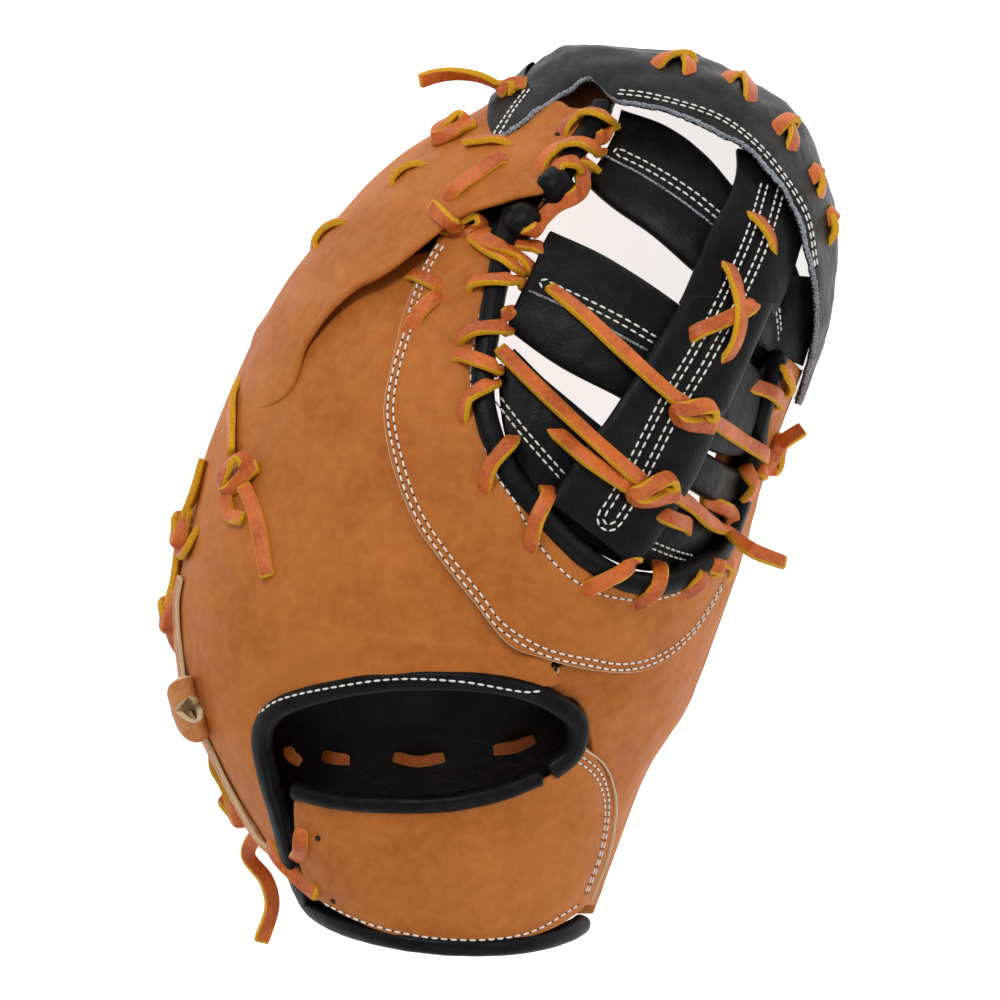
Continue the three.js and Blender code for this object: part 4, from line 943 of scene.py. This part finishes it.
# The upper leather's lift at the rim, low where the fold begins
UPPER_RIM = [("uv", 0, row[3], min(0.2, (row[3] - 0.57) * 16)) for row in FINGER_UPPER]
panel(finger_back, [row[:3] for row in FINGER_UPPER + FINGER_TIP],
      UPPER_RIM + [(*row[3:], 0) for row in FINGER_TIP],
      190, 90, fade=2.0, relief=back_relief, rounding=(1.2, 2.0))

FOLD_ROWS = [
    (-108, 238, -85, 212), (-44, 292, -30, 238), (-4, 308, 4, 252), (36, 314, 38, 282),
]


def edges_at(rows, lifts):
    """A panel's two edges, from rows of x, y of one and x, y of the other, at the given lifts."""
    lifts = lifts if isinstance(lifts, list) else [lifts] * len(rows)
    return [[(*row[k:k + 2], lift) for row, lift in zip(rows, lifts)] for k in (0, 2)]


fold_lining = panel(Shape(), *edges_at(FOLD_ROWS, -5.6), 40, 14, thick=1.4)

# Thumb back, collar and wrist strap
THUMB = [
    (83, -405, 0.02), (92, -370, 0.05), (98, -335, 0.085), (97, -295, 0.12), (92, -262, 0.15),
    (90, -235, 0.185), (78, -203, 0.215), (42, -186, 0.24), (60, -168, 0.265), (90, -150, 0.285),
    (143, -148, 0.31), (185, -128, 0.34), (208, -95, 0.37), (225, -56, 0.41), (237, -22, 0.445),
    (246, 8, 0.475), (257, 45, 0.505), (269, 100, 0.55), (284, 145, 0.59),
]
THUMB_CREASES = [
    ([(580, 700), (621, 688), (632, 677)], 6, 0.6),
    ([(560, 700), (590, 730), (640, 760)], 12, 0.35),
    ([(640, 700), (680, 690), (708, 660)], 12, 0.3),
]
thumb_back = panel(Shape(), [(x, y, TUCK - 0.5) for x, y, _ in THUMB],
                   [("uv", 1, v, 0) for _, _, v in THUMB], 200, 70,
                   relief=Relief(24, THUMB_CREASES, (), swell=0.55, wave=45), rounding=(1.2, 2.0))
COLLAR = [
    (-54, 264, 4, 262), (-83, 205, -5, 207), (-102, 130, -17, 127), (-109, 90, -15, 90), (-80, -17, 9, 27),
    (-56, -53, 30, -3), (-21, -97, 54, -28), (15, -140, 88, -59), (45, -152, 105, -70),
    (93, -163, 122, -79), (143, -164, 147, -84), (180, -145, 185, -76), (209, -108, 214, -61),
    (226, -82, 235, -40),
]
COLLAR_SEAM = [
    (442, 244), (430, 262), (417, 295), (408, 330), (396, 370), (391, 400), (391, 420), (398, 455),
    (408, 489), (420, 517), (444, 553), (479, 597), (500, 625), (545, 652), (593, 663), (618, 667),
    (643, 664), (668, 653), (693, 631), (709, 608), (722, 585),
]
WELT_SEAM = [
    (492, 262), (485, 297), (477, 327), (471, 372), (474, 407), (484, 443), (499, 479), (514, 500),
    (530, 530), (556, 565), (595, 592), (650, 600), (697, 584), (722, 562),
]
WELT_HOLES = [
    (483, 246), (465, 290), (455, 343), (449, 356), (459, 424), (483, 494), (529, 553), (584, 597),
    (635, 608), (680, 601),
]
CROSS_HOLES = [(408, 274), (447, 289), (441, 293), (400, 340)]
COLLAR_DENTS = [(x, y, 7, 0.6) for x, y in WELT_HOLES] + [(x, y, 6, 0.5) for x, y in CROSS_HOLES]
COLLAR_HEM = 8


def outset(row):
    """The collar's outer place, moved out by the hem that lies beyond its seam."""
    return row[:2] + unit(np.array(row[:2]) - row[2:]) * COLLAR_HEM


web_collar = panel(Shape(), [outset(row) for row in COLLAR], [row[2:] for row in COLLAR], 230, 46,
                   relief=Relief(26, [(COLLAR_SEAM, 6, 0.4), (WELT_SEAM, 5, 0.3)], COLLAR_DENTS,
                                 swell=0.3, wave=30),
                   raw=(True, False), rounding=(0.7, 1.2))
STRAP = [
    (-206, -300, -187, -398), (-165, -302, -155, -418), (-108, -306, -100, -438), (-48, -304, -35, -446),
    (18, -292, 25, -440), (56, -275, 70, -420), (80, -248, 90, -400), (99, -262, 100, -375),
    (111, -292, 111, -330),
]
STRAP_END = [(580, 746), (604, 765), (614, 792), (614, 823), (607, 857), (591, 899)]
STRAP_SEAM = [(574, 755), (597, 773), (606, 797), (606, 823), (600, 855), (586, 893)]
STRAP_HEM = [(324, 903), (361, 921), (413, 935), (478, 940), (531, 932), (578, 905)]
wrist_strap = panel(Shape(), [row[:2] for row in STRAP], [row[2:] for row in STRAP], 190, 70,
                    relief=Relief(28, [(STRAP_SEAM, 7, 0.4), (STRAP_HEM, 5, 0.4),
                                       ([(330, 815), (400, 822), (470, 818), (540, 800)], 9, 0.3)],
                                  [(318, 838, 5, 0.7), (333, 901, 5, 0.7)], swell=0.45, wave=40))

# Palm: the pocket's leather, turned out flat at the rim where the mitt rests
PALM_FINGERS = [(0, 0, 1), (0.375, 0, 1)]
PALM_TIP = [
    (0.35, 0, 0.62), (0.4, 0, 0.59), (0.44, 0, 0.52), (0.48, 0, 0.455), (0.53, 0, 0.405), (0.57, 0, 0.38),
    (0.63, 0, 0.35), (0.68, 0, 0.328), (0.73, 0, 0.335), (0.79, 0, 0.335), (0.84, 0, 0.33), (0.88, 0, 0.32),
    (0.92, 0, 0.305), (0.95, 0, 0.29),
]
PALM_THUMB = [
    (0.35, 0.76, 1), (0.4, 0.785, 1), (0.44, 0.845, 1), (0.48, 0.835, 1), (0.52, 0.82, 1), (0.56, 0.79, 1),
    (0.6, 0.785, 1),
]


# How far from the outer rim the columns of a turned-out lip lie
LIP_SHARES = np.array([0.0, 0.03, 0.08, 0.15, 0.3, 0.5, 0.7, 0.85])


def palm_part(shape, rows, along, across, left_lip, right_lip, relief):
    """A stretch of the pocket's wall. Rows are v, then u at its left and at its right."""
    marks, lefts, rights = np.array(rows, float).T
    v = np.linspace(marks[0], marks[-1], along)
    start, end = np.interp(v, marks, lefts), np.interp(v, marks, rights)
    w = np.linspace(0, 1, across)[None]
    u = start[:, None] + (end - start)[:, None] * w
    v = np.broadcast_to(v[:, None], u.shape)
    skin, normal = pocket(u, v), normal_of(pocket, u, v)
    swell, crease = relief.at(skin)
    calm = smoothstep(skin[..., 2], 1, 14)
    under = skin + normal * (swell * calm)[..., None]
    under[..., 2] = np.maximum(under[..., 2], 0)
    upper = skin + normal * PALM_WALL
    for lip, index, rim in ((left_lip, 0, 0.0), (right_lip, -1, 1.0)):
        if not lip:
            continue
        upper[:, index, 2], under[:, index, 2] = PALM_WALL, 0
        edge = dome(np.full(along, rim), v[:, 0], 0, 0, 0)
        share = LIP_SHARES[:, None]
        low = edge[:, None] * (1 - share) + under[:, index][:, None] * share
        high = low.copy()
        round_off = PALM_WALL / 2 * (1 - np.sqrt(1 - (1 - np.minimum(LIP_SHARES * 9, 1)) ** 2))
        high[..., 2] = PALM_WALL - round_off
        low[..., 2] = round_off * 0.9
        flip = slice(None, None, -1 if rim else 1)
        upper, under, crease = [
            np.hstack([lip_part, grid[:, flip]])[:, flip]
            for lip_part, grid in ((high, upper), (low, under), (np.zeros(low.shape[:2]), crease))
        ]
    return sheet_shape(shape, upper, under, crease=crease)


palm = Shape()
palm_relief = Relief(31, (), (), swell=0.7, wave=48)
palm_part(palm, PALM_FINGERS, 120, 150, True, True, palm_relief)
palm_part(palm, PALM_TIP, 170, 60, True, False, palm_relief)
palm_part(palm, PALM_THUMB, 80, 30, False, True, palm_relief)

lining_v, lining_u = np.meshgrid(np.linspace(0.04, 0.35, 90), np.linspace(2 / 12, 10 / 12, 110),
                                 indexing="ij")
lining_under, lining_upper = [lifted(pocket, lining_u, lining_v, PALM_WALL + CLEARANCE + thick)
                              for thick in (0, 1.4)]
lining_wave = ripple(lining_upper, 33, 0.55, 26)[..., None] * normal_of(pocket, lining_u, lining_v)
palm_lining = sheet_shape(Shape(), lining_upper + lining_wave, lining_under + lining_wave * 0.2)

# Web bars, base and post. Rows are x, y of one edge, then of the other.
BAR_1 = [
    (122, 388, 87, 315), (166, 372, 112, 293), (205, 343, 148, 268), (235, 308, 190, 232),
    (268, 272, 222, 205), (291, 235, 241, 165), (300, 195, 251, 135), (297, 155, 257, 115),
]
BAR_2 = [
    (52, 268, 8, 170), (100, 246, 60, 133), (140, 222, 121, 101), (176, 197, 162, 74), (213, 168, 195, 56),
    (240, 146, 218, 46), (257, 130, 235, 44),
]
BAR_3 = [
    (168, 70, 150, 36), (198, 52, 180, 16), (222, 38, 205, 1), (238, 30, 226, -10),
]
BASE = [
    (14, 153, -3, 120), (43, 124, 3, 70), (75, 97, 18, 32), (105, 72, 52, -14), (150, 32, 93, -50),
    (190, 3, 145, -72), (215, -12, 190, -64), (232, -20, 218, -50),
]
POST = [
    (236, 350, 300, 295), (231, 310, 302, 272), (212, 274, 296, 244), (197, 238, 287, 215),
    (180, 200, 274, 188), (150, 148, 253, 152), (121, 102, 238, 116), (94, 66, 222, 85), (72, 34, 203, 41),
    (60, 16, 183, 2), (47, -1, 134, -69),
]
POST_LIFT = [-5.4, -5.2, -4.8, -4, -2, 0, 0, -0.4, -1, -1.6, -2]


bar_1 = flat_tube(Shape(), *edges_at(BAR_1, -12.8), 110, BAR_HEIGHT, seed=41)
bar_2 = flat_tube(Shape(), *edges_at(BAR_2, -8), 130, BAR_HEIGHT, seed=43)
bar_3 = flat_tube(Shape(), *edges_at(BAR_3, -9), 50, BAR_HEIGHT, seed=45)
post = flat_tube(Shape(), *edges_at(POST, POST_LIFT), 190, POST_HEIGHT, sides=72, seed=47, swell=0.3)
web_base = panel(Shape(), *edges_at(BASE, -6.6), 140, 40, thick=4.0,
                 relief=Relief(49, swell=0.4, wave=22), rounding=(2, 2))

TOP_BAR = [
    (-6, 363, 2.6, 0, 0.88), (17, 376, 2.4, 0, 0.895), (37, 391.5, 2, 0, 0.91), (66, 409, 1.4, 0, 0.94),
    (94, 421, 0.8, 0, 0.99), (113, 402, 1, 0.15, 1), (132, 398, 1.2, 0.4, 1), (155, 394, 1.6, 0.7, 1),
    (190, 383, 2, 0.95, 1), (223, 367, 3, 1, 0.955), (252, 350, 3.2, 1, 0.9), (275, 325, 3.2, 1, 0.84),
    (299, 288, 3.2, 1, 0.78), (308, 250, 3, 1, 0.72),
]
# The band's thumb end stands off the thumb: u and v of its edge, lift, v and lift at the rim
BAND_END = [
    (0.79, 0.665, 3.2, 0.67, 1), (0.85, 0.63, 3.4, 0.635, 2.4), (0.9, 0.602, 3.6, 0.61, 3.2),
    (0.94, 0.58, 3.6, 0.587, 3.2), (0.965, 0.566, 3.4, 0.572, 3.2),
]
# The band's inner leg at the thumb: u and v of its outer edge, u of its inner edge
INNER_LEG = [(0.795, 0.685, 0.7), (0.83, 0.662, 0.72), (0.875, 0.634, 0.75), (0.915, 0.6, 0.78)]
# The band's hood stands off the rim of the finger's side by HOOD_LIFT, up to v = HOOD_END
HOOD_LIFT, HOOD_END = 1.6, 0.93
BAND_RIM = [("uv", u, v, HOOD_LIFT if v < HOOD_END and not u else 0) for *_, u, v in TOP_BAR]
top_bar = panel(Shape(), [row[:3] for row in TOP_BAR] + [("uv", *row[:3]) for row in BAND_END],
                BAND_RIM + [("uv", 1, *row[3:]) for row in BAND_END],
                280, 60, thick=2.8, foot=0.0, relief=Relief(51, swell=0.5, wave=26),
                raw=(True, False), rounding=(0.7, 1.4), raw_under=0.2, fray=0.35)
panel(top_bar, [("uv", u, v, 0) for u, v, _ in INNER_LEG],
      [("uv", u, v, -18.0) for _, v, u in INNER_LEG], 50, 14, thick=2.0, raw_under=0.0)

# Each piece's shape, its leather, and the nodes that it replaces where its name doesn't say so
SKINS = {
    "opening_roll": (opening, BLACK, "opening_binding"),
    "strap_top_roll": (strap_top, BLACK, "strap_binding_top"),
    "heel_roll": (heel_roll, BLACK, "strap_binding_bottom"),
    "welt_tip_roll": (welt_tip, BLACK, "web_welt_tip"),
    "welt_roll": (welt, BLACK, "web_welt"),
    "web_wall_leather": (web_wall, BLACK),
    "finger_back_leather": (finger_back, TAN),
    "fold_lining_leather": (fold_lining, LINING),
    "thumb_back_leather": (thumb_back, TAN),
    "collar_leather": (web_collar, TAN, "web_collar"),
    "strap_leather": (wrist_strap, TAN, "wrist_strap"),
    "palm_leather": (palm, TAN_PALM, "palm_heel", "palm_shell", "palm_tip"),
    "lining_leather": (palm_lining, LINING, "palm_lining"),
    "web_bar_1_leather": (bar_1, BLACK),
    "web_bar_2_leather": (bar_2, BLACK),
    "web_bar_3_leather": (bar_3, BLACK),
    "web_base_leather": (web_base, BLACK),
    "web_post_leather": (post, BLACK),
    "web_top_bar_leather": (top_bar, BLACK),
}
trees = {}
for name, (shape, material, *nodes) in SKINS.items():
    shape.build(name, material, nodes or [name.removesuffix("_leather")])
    trees[name] = shape.tree()
ALL = list(trees.values())


def near(*names):
    return [trees[name] for name in names]


# Stitching. Rows are x, y in the photo's square.
PAIR = (-1.15, 1.15)
SEAMS = {
    "stitches_collar": ("collar_leather", [COLLAR_SEAM], PAIR),
    "stitches_welt": ("collar_leather", [WELT_SEAM], (0.0,)),
    "stitches_strap": ("strap_leather", [STRAP_SEAM], PAIR),
    "stitches_hem": ("strap_leather", [STRAP_HEM], (0.0,)),
    "stitches_opening": ("opening_roll", [[
        (256, 716), (277, 701), (335, 687), (397, 679), (465, 682), (525, 692), (541, 691)]], (0.0,)),
    "stitches_short_seam": ("thumb_back_leather", [[(537, 684), (553, 664)]], PAIR),
    "stitches_top_bar": ("web_top_bar_leather", [
        [(617, 92), (650, 96), (717, 116), (752, 140), (782, 174), (807, 216), (816, 267)]],
        PAIR),
    "stitches_hood": ("web_top_bar_leather", [[(496, 135), (512, 110), (528, 89)]], PAIR),
    "stitches_bar_1_end": ("web_bar_1_leather", [[(777, 308), (779, 330), (779, 360)]], PAIR),
    "stitches_base": ("web_base_leather", [
        [(497, 398), (520, 428), (545, 457), (563, 477)],
        [(652, 545), (675, 554), (697, 560)]], PAIR),
}
# Seams that turn round at an end: the line, and how far its rows lie to each side. A wide one has
# a second row inside the first.
SECOND_ROW = 6.5
TURNED = {
    "stitches_bar_1": ("web_bar_1_leather", [(618, 152), (650, 168), (690, 193), (720, 217)], 3.3),
    "stitches_bar_2": ("web_bar_2_leather", [(543, 283), (580, 300), (620, 320), (656, 341)], 3.3),
    "stitches_post": ("web_post_leather", [
        (609, 519), (620, 503), (646, 453), (672, 403), (702, 353), (733, 293), (758, 236), (773, 186)], 12),
}
pricks = Shape()
for name, (piece, lines, offsets) in SEAMS.items():
    sewn = Shape()
    for line in lines:
        stitches(sewn, pricks, line, near(piece), offsets)
    sewn.build(name, THREAD_WHITE)
for name, (piece, line, half) in TURNED.items():
    sewn = Shape()
    for inset in (0, SECOND_ROW) if half > SECOND_ROW else (0,):
        stitches(sewn, pricks, line, near(piece), (0.0,), turn=half - inset)
    sewn.build(name, THREAD_WHITE)
# Dark marks of painted shade in the stitch holes
pricks.build("stitch_hole_shadows", HOLE_DARK)

# Cut edges that stand a little proud: seams of the bars and post, and the strap's end
STRIP_SIZES = ((0.9, 0.8), (0.8, 1.8), (0.9, 1.3))
BAR_STRIP, END_STRIP, SEAM_STRIP = [superellipse(*size, 10, 3) for size in STRIP_SIZES]


def raw_strip(shape, line, trees_under, lift, section, raw=1.0):
    points, normals = along_line(line, trees_under, 16, lift, turns=5)
    points += ripple(points, 71, 0.12, 4)[:, None] * normals
    sweep(shape, points, normals, section, raw=raw)


bar_edges = Shape()
for piece, line, raw_share in (
    ("web_bar_1_leather", [(603, 155), (640, 174), (680, 200), (714, 226)], 0.6),
    ("web_bar_2_leather", [(529, 291), (570, 309), (610, 330), (648, 351)], 0.6),
    ("web_post_leather", [(774, 184), (758, 236), (733, 293), (701, 353), (671, 403), (645, 453),
                          (617, 503), (606, 522)], 0.0),
):
    raw_strip(bar_edges, line, near(piece), 0.1, BAR_STRIP, raw_share)
bar_edges.build("web_cut_edges", BLACK)
tan_edges = Shape()
raw_strip(tan_edges, STRAP_END, near("strap_leather", "thumb_back_leather"), 0.1, END_STRIP)
raw_strip(tan_edges, [(547, 690), (559, 668)], near("thumb_back_leather"), 0.2, SEAM_STRIP)
tan_edges.build("tan_cut_edges", TAN)

# Lacing that goes over the welt. Rows are x, y and lift above what lies under them.
EDGE_LACES = {
    "lace_edge_1": [
        [(558, 138), (565, 129), (577, 120, 2), (590, 116, 2.4), (602, 118, 2), (611, 127)],
        [(592, 142), (599, 136), (607, 131), (615, 128)]],
    "lace_edge_2": [[(536, 173), (545, 161), (558, 151, 2), (575, 146, 2.4), (590, 147, 2), (601, 153)]],
    "lace_edge_3": [
        [(553, 173), (561, 166), (572, 164, 2), (581, 173, 2.4), (583, 187, 2.2), (579, 194, 0.5),
         (568, 200, -6)],
        [(580, 158), (587, 162), (596, 169)],
        [(516, 243), (527, 245), (538, 247), (549, 251)]],
    "lace_edge_4": [
        [(577, 186), (569, 194, 2.4), (556, 206, 2.4), (543, 218, 1.8), (530, 230, 1.6), (520, 240)]],
    "lace_edge_5": [
        [(465, 291), (473, 285), (486, 282, 1.8), (503, 281, 2.4), (518, 281, 1.5), (527, 283)]],
    "lace_edge_6": [
        [(495, 318), (503, 314), (511, 311), (518, 310)],
        [(455, 343), (464, 337), (480, 331, 2), (497, 328, 2.2), (509, 331)]],
    "lace_edge_7": [[(449, 355), (462, 356), (478, 361, 2), (490, 367, 2), (498, 371)]],
    "lace_base_1": [[(459, 425), (464, 412), (474, 397, 2), (486, 387, 2.2), (496, 384)]],
    "lace_base_2": [[(482, 496), (486, 482), (495, 463, 2), (505, 448, 2.2), (514, 436)]],
    "lace_base_3": [[(529, 556), (531, 541), (538, 518, 2), (543, 500, 2.2), (546, 486)]],
    "lace_base_4": [[(583, 598), (590, 586), (605, 577, 2), (619, 572, 2), (630, 566)]],
    "lace_base_5": [[(634, 609), (641, 600), (653, 587, 2), (659, 576, 2), (662, 564)]],
    "lace_base_6": [
        [(679, 601), (685, 591), (697, 579, 2), (706, 563)],
        [(711, 562), (717, 566, 1.6), (716, 578)],
        [(720, 550), (728, 562, 1.6), (731, 583)]],
}
THUMB_LOOPS = [
    [(776, 360), (784, 371), (785, 390), (776, 408)],
    [(747, 385), (760, 388), (773, 393), (777, 405), (770, 421)],
    [(736, 463), (747, 470), (752, 485), (747, 507)],
    [(702, 499), (718, 503), (732, 516), (735, 533)],
]
POST_LACES = {
    "lace_post_slash": [[(750, 207), (757, 221), (770, 240), (783, 258)]],
    "lace_post_cross_side": [[(687, 338), (697, 332), (722, 321, ON + 0.3), (748, 308), (761, 298)]],
    "lace_post_cross_long": [
        [(725, 257), (730, 272, ON + 0.2), (735, 298, 2.6), (736, 320, 3.4), (731, 345, 2.4), (724, 370)]],
}
FINGER_LACES = {
    "lace_collar_1": [[(406, 273), (414, 276), (432, 283), (447, 289)]],
    "lace_collar_2": [[(442, 291), (435, 300), (418, 318), (400, 341)]],
    "lace_finger_2": [[(513, 153), (500, 161), (478, 176), (455, 193), (443, 202)]],
    "lace_rim_1": [[(385, 192), (393, 181, ON - 0.4), (404, 171), (417, 165, ON - 0.4), (430, 160)]],
    "lace_rim_2": [[(310, 258), (316, 245, ON - 0.4), (326, 232), (339, 223, ON - 0.4), (350, 216)]],
    "lace_rim_3": [[(241, 357), (246, 340, ON - 0.4), (254, 322), (268, 306)]],
    "lace_wrist": [
        [(297, 826), (303, 835), (302, 850), (285, 865)],
        [(262, 833), (275, 848), (296, 874, ON + 0.4), (319, 893, ON)]],
}
STRAIGHT = {"lace_edge_4": {"tight": 60, "tilt": 0.1}}


def laid_all(shape, strands, under, seed, **options):
    for k, rows in enumerate(strands):
        laid(shape, rows, under, seed=seed + k, **options)
    return shape


def build_laces(table, under, seed, step, **usual):
    for index, (name, strands) in enumerate(table.items()):
        strand = laid_all(Shape(), strands, under, seed + step * index, **STRAIGHT.get(name, usual))
        strand.build(f"{name}_strand", LACING, [name])


for table in (EDGE_LACES, POST_LACES, FINGER_LACES):
    build_laces(table, ALL, 100, 7, tight=5)
laid_all(Shape(), THUMB_LOOPS, ALL, 160).build("lace_thumb_loops", LACING)

# Laces over the top bar's folded edge
TOP_LACES = {
    "lace_top_1": [
        [(650, 69), (661, 62), (675, 58, 1.6), (691, 59), (702, 64)],
        [(687, 61, 0.8), (689, 69), (688, 79)]],
    "lace_top_2": [
        [(721, 85), (730, 77), (742, 73, 1.8), (750, 77)],
        [(744, 78, 0.8), (749, 92), (752, 111)]],
    "lace_top_3": [
        [(771, 135), (780, 125), (790, 121, 1.8), (797, 124)],
        [(790, 126, 0.8), (792, 141), (791, 158)]],
    "lace_top_4": [[(810, 182), (815, 172), (823, 166)], [(816, 174, 0.8), (820, 188), (821, 206)]],
    "lace_top_5": [[(827, 225), (830, 215), (834, 207)], [(829, 214, 0.8), (831, 232), (830, 252)]],
}
build_laces(TOP_LACES, near("web_top_bar_leather"), 200, 5)

# Knots and the strands that leave them: x, y, direction, size, then the strands' rows
KNOTS = {
    "knot_post_1": (691, 409, -0.45, 1.0, [
        [(550, 287, 0.2), (580, 313, 1.5), (620, 350, 3.5), (655, 383, 3.2), (682, 405, 2.4)],
        [(702, 413, 2.6), (722, 427, 2), (745, 442, 1.4), (762, 452, 1.3), (776, 463, 0.6)]]),
    "knot_post_2": (649, 485, -0.15, 1.05, [
        [(499, 348, 4), (530, 380, 3), (570, 420, 3.5), (610, 456, 4.4), (640, 481, 2.8)],
        [(543, 418), (565, 440, 1.4), (590, 461, 2.4), (612, 476, 2), (632, 488, 1.2)],
        [(662, 488, 2.6), (685, 503, 3), (705, 521, 2.8), (727, 537, 3), (754, 551, 3, 80),
         (785, 563, 3, 77)],
        [(656, 512), (668, 517, 1.6), (684, 524, 1.8), (697, 534)]]),
    "knot_finger_1": (455, 134, -0.2, 0.85, [
        [(467, 146, 1.8), (483, 143, 1.4), (500, 142), (515, 141)],
        [(449, 130, 2.2), (441, 119, 4), (432, 106, 7)]]),
    "knot_finger_2": (468, 232, -0.35, 0.95, [
        [(462, 231, 2.4), (449, 222, 3), (436, 212, 3.6)],
        [(478, 236, 2.4), (494, 244, 2.4), (513, 255, 2), (534, 267)],
        [(474, 238, 1.4), (490, 251, 1.6), (508, 264, 1.4), (526, 274)]]),
    "knot_pinky_1": (242, 474, 0.1, 0.95, [
        [(237, 455, 2.4), (235, 430, 1.4), (236, 398, 1.2), (238, 366, 1.6)],
        [(248, 488, 2), (257, 512, 1.2), (264, 545, 1.2), (269, 577, 1)],
        [(236, 484, 1.6), (230, 498, 1.4), (233, 515, 1.4), (246, 519, 1.2)]]),
}
for index, (name, (x, y, direction, size, strands)) in enumerate(KNOTS.items()):
    tied = Shape()
    knot(tied, x, y, direction, ALL, size, 300 + 10 * index)
    laid_all(tied, strands, ALL, 320 + 10 * index).build(f"{name}_tied", LACING, [name])

# Knots on the mitt's sides: u, v, direction, then strands as rows of u, v, lift
SIDE_KNOTS = {
    "knot_pinky_2": (0.05, 0.405, 1.3, [
        [(0.05, 0.41, 3), (0.056, 0.44, 1.2), (0.052, 0.47, 1.2)],
        [(0.05, 0.4, 3), (0.062, 0.385, 1.2), (0.085, 0.39, 1.2), (0.09, 0.41, -1)]]),
    "knot_pinky_3": (0.045, 0.325, 1.3, [
        [(0.045, 0.33, 3), (0.04, 0.355, 1.2), (0.036, 0.385, 1.2), (0.045, 0.405, 1)],
        [(0.045, 0.32, 3), (0.055, 0.3, 1), (0.06, 0.29, -1)]]),
    "knot_wrist": (0.035, 0.115, 1.4, [
        [(0.035, 0.12, 3), (0.04, 0.14, 1.2), (0.03, 0.16, 1.2), (0.025, 0.175, -1)]]),
}
WRIST_TAIL = [(240, 838, 2.5), (248, 855, 2, 12), (266, 880, 0, 8), (272, 905, 0, 6), (261, 942, 0, 4.5)]
for index, (name, (u, v, direction, strands)) in enumerate(SIDE_KNOTS.items()):
    tied = Shape()
    knot_place, knot_up = on_skin([(u, v, KNOT_LIFT)])
    knot_at(tied, knot_place[0], knot_up[0], direction, 0.75, 400 + 10 * index)
    for k, rows in enumerate(strands):
        lace(tied, *on_skin(rows), seed=420 + 10 * index + k)
    if name == "knot_wrist":
        laid(tied, WRIST_TAIL, ALL, seed=450)
    tied.build(f"{name}_tied", LACING, [name])

thumb_knot = Shape()
knot(thumb_knot, 768, 454, -1.2, ALL, 0.8, 460)
laid_all(thumb_knot, [[(772, 452, 2.4), (786, 440, 1, 40), (803, 429, 0, 40)],
                      [(753, 468), (760, 470, 1.4), (771, 476)]], ALL, 463)
thumb_knot.build("knot_thumb_tied", LACING, ["knot_thumb"])

finger_tail = Shape()
laid(finger_tail, [(514, 93, 1.6), (500, 86, 2.4, 25), (478, 77, 0, 27), (455, 74, 0, 29),
                   (436, 76, 0, 31), (420, 81, 0, 33)], ALL, seed=471,
     twist=[0.5, 0.9, 0.7, 0.4, 0.2])
laid(finger_tail, [(527, 84, 0.3), (512, 90, 2.2), (500, 96, 0.5)], ALL, seed=472)
finger_tail.build("lace_finger_1_strand", LACING, ["lace_finger_1"])

# The tan thong at the little finger's side, with its wide flat knot
thong = Shape()
THONG_SECTION = superellipse(6.6, 2.0, 20, 5)
THONG_RAW = np.where(np.abs(THONG_SECTION[:, 0]) > 2.9, 1.0, 0.0)
THONG_WAY = np.array([0.35, 1.0, 0])
for seed, rows in ((481, [(0.1, 0.235, 3.4), (0.098, 0.2, 1.4), (0.092, 0.165, 1.2), (0.09, 0.13, 1.2),
                          (0.1, 0.085, 1.2), (0.115, 0.07, -1)]),
                   (482, [(0.1, 0.25, 3), (0.085, 0.28, 1.2), (0.075, 0.31, 1.2), (0.066, 0.34, 1.2),
                          (0.068, 0.362, 0.6)])):
    path, facing = [spline(line, 60) for line in on_skin(rows)]
    sweep(thong, path, unit(smoothed(facing, 3)), THONG_SECTION, raw=THONG_RAW,
          size=1 + ripple(path, seed, 0.06, 20), blunt=0.1)
points, normals = on_skin([(0.105, 0.24, 3.6)])
up = normals[0]
along = unit(THONG_WAY - up * up.dot(THONG_WAY))
ring(thong, points[0] - along * 3.2, along, up, 7.6, 3.9, width=1.5, lean=5.0, seed=483)
ring(thong, points[0] + along * 3.4 + up * 0.5, along, up, 6.4, 3.7, width=1.4, lean=-5.5, seed=484)
thong.build("knotted_thong_tied", THONG, ["knotted_thong"])

# Laces that show on the lining inside the opening, and dark discs of painted shade for the punched holes
inner = laid_all(Shape(), [
    [(288, 748, -0.6), (292, 754, 0.9), (300, 762, -0.6)],
    [(324, 756, -0.6), (336, 757, 0.9), (349, 760, -0.6)],
    [(394, 757, -0.6), (418, 760, 1), (444, 757, -0.6)],
    [(494, 750, -0.6), (515, 745, 1), (534, 739, -0.6)],
], near("lining_leather"), 500, width=0.8)
inner.build("lining_laces", LACING)
HOLES = [(318, 838), (279, 873), (333, 901), (411, 273), (558, 134)]
holes = Shape()
for k, (x, y) in enumerate(HOLES):
    points, normals = drape([(x, y, 0.12)], ALL)
    ahead = unit(np.cross(normals[0], [0, 1, 0]))
    spots = points[0] + np.outer(np.linspace(-0.2, 0.2, 4), normals[0])
    sweep(holes, spots, np.tile(ahead, (4, 1)), superellipse(2.4, 2.4, 16, 2.0), blunt=0.3)
holes.build("punched_hole_shadows", HOLE_DARK)
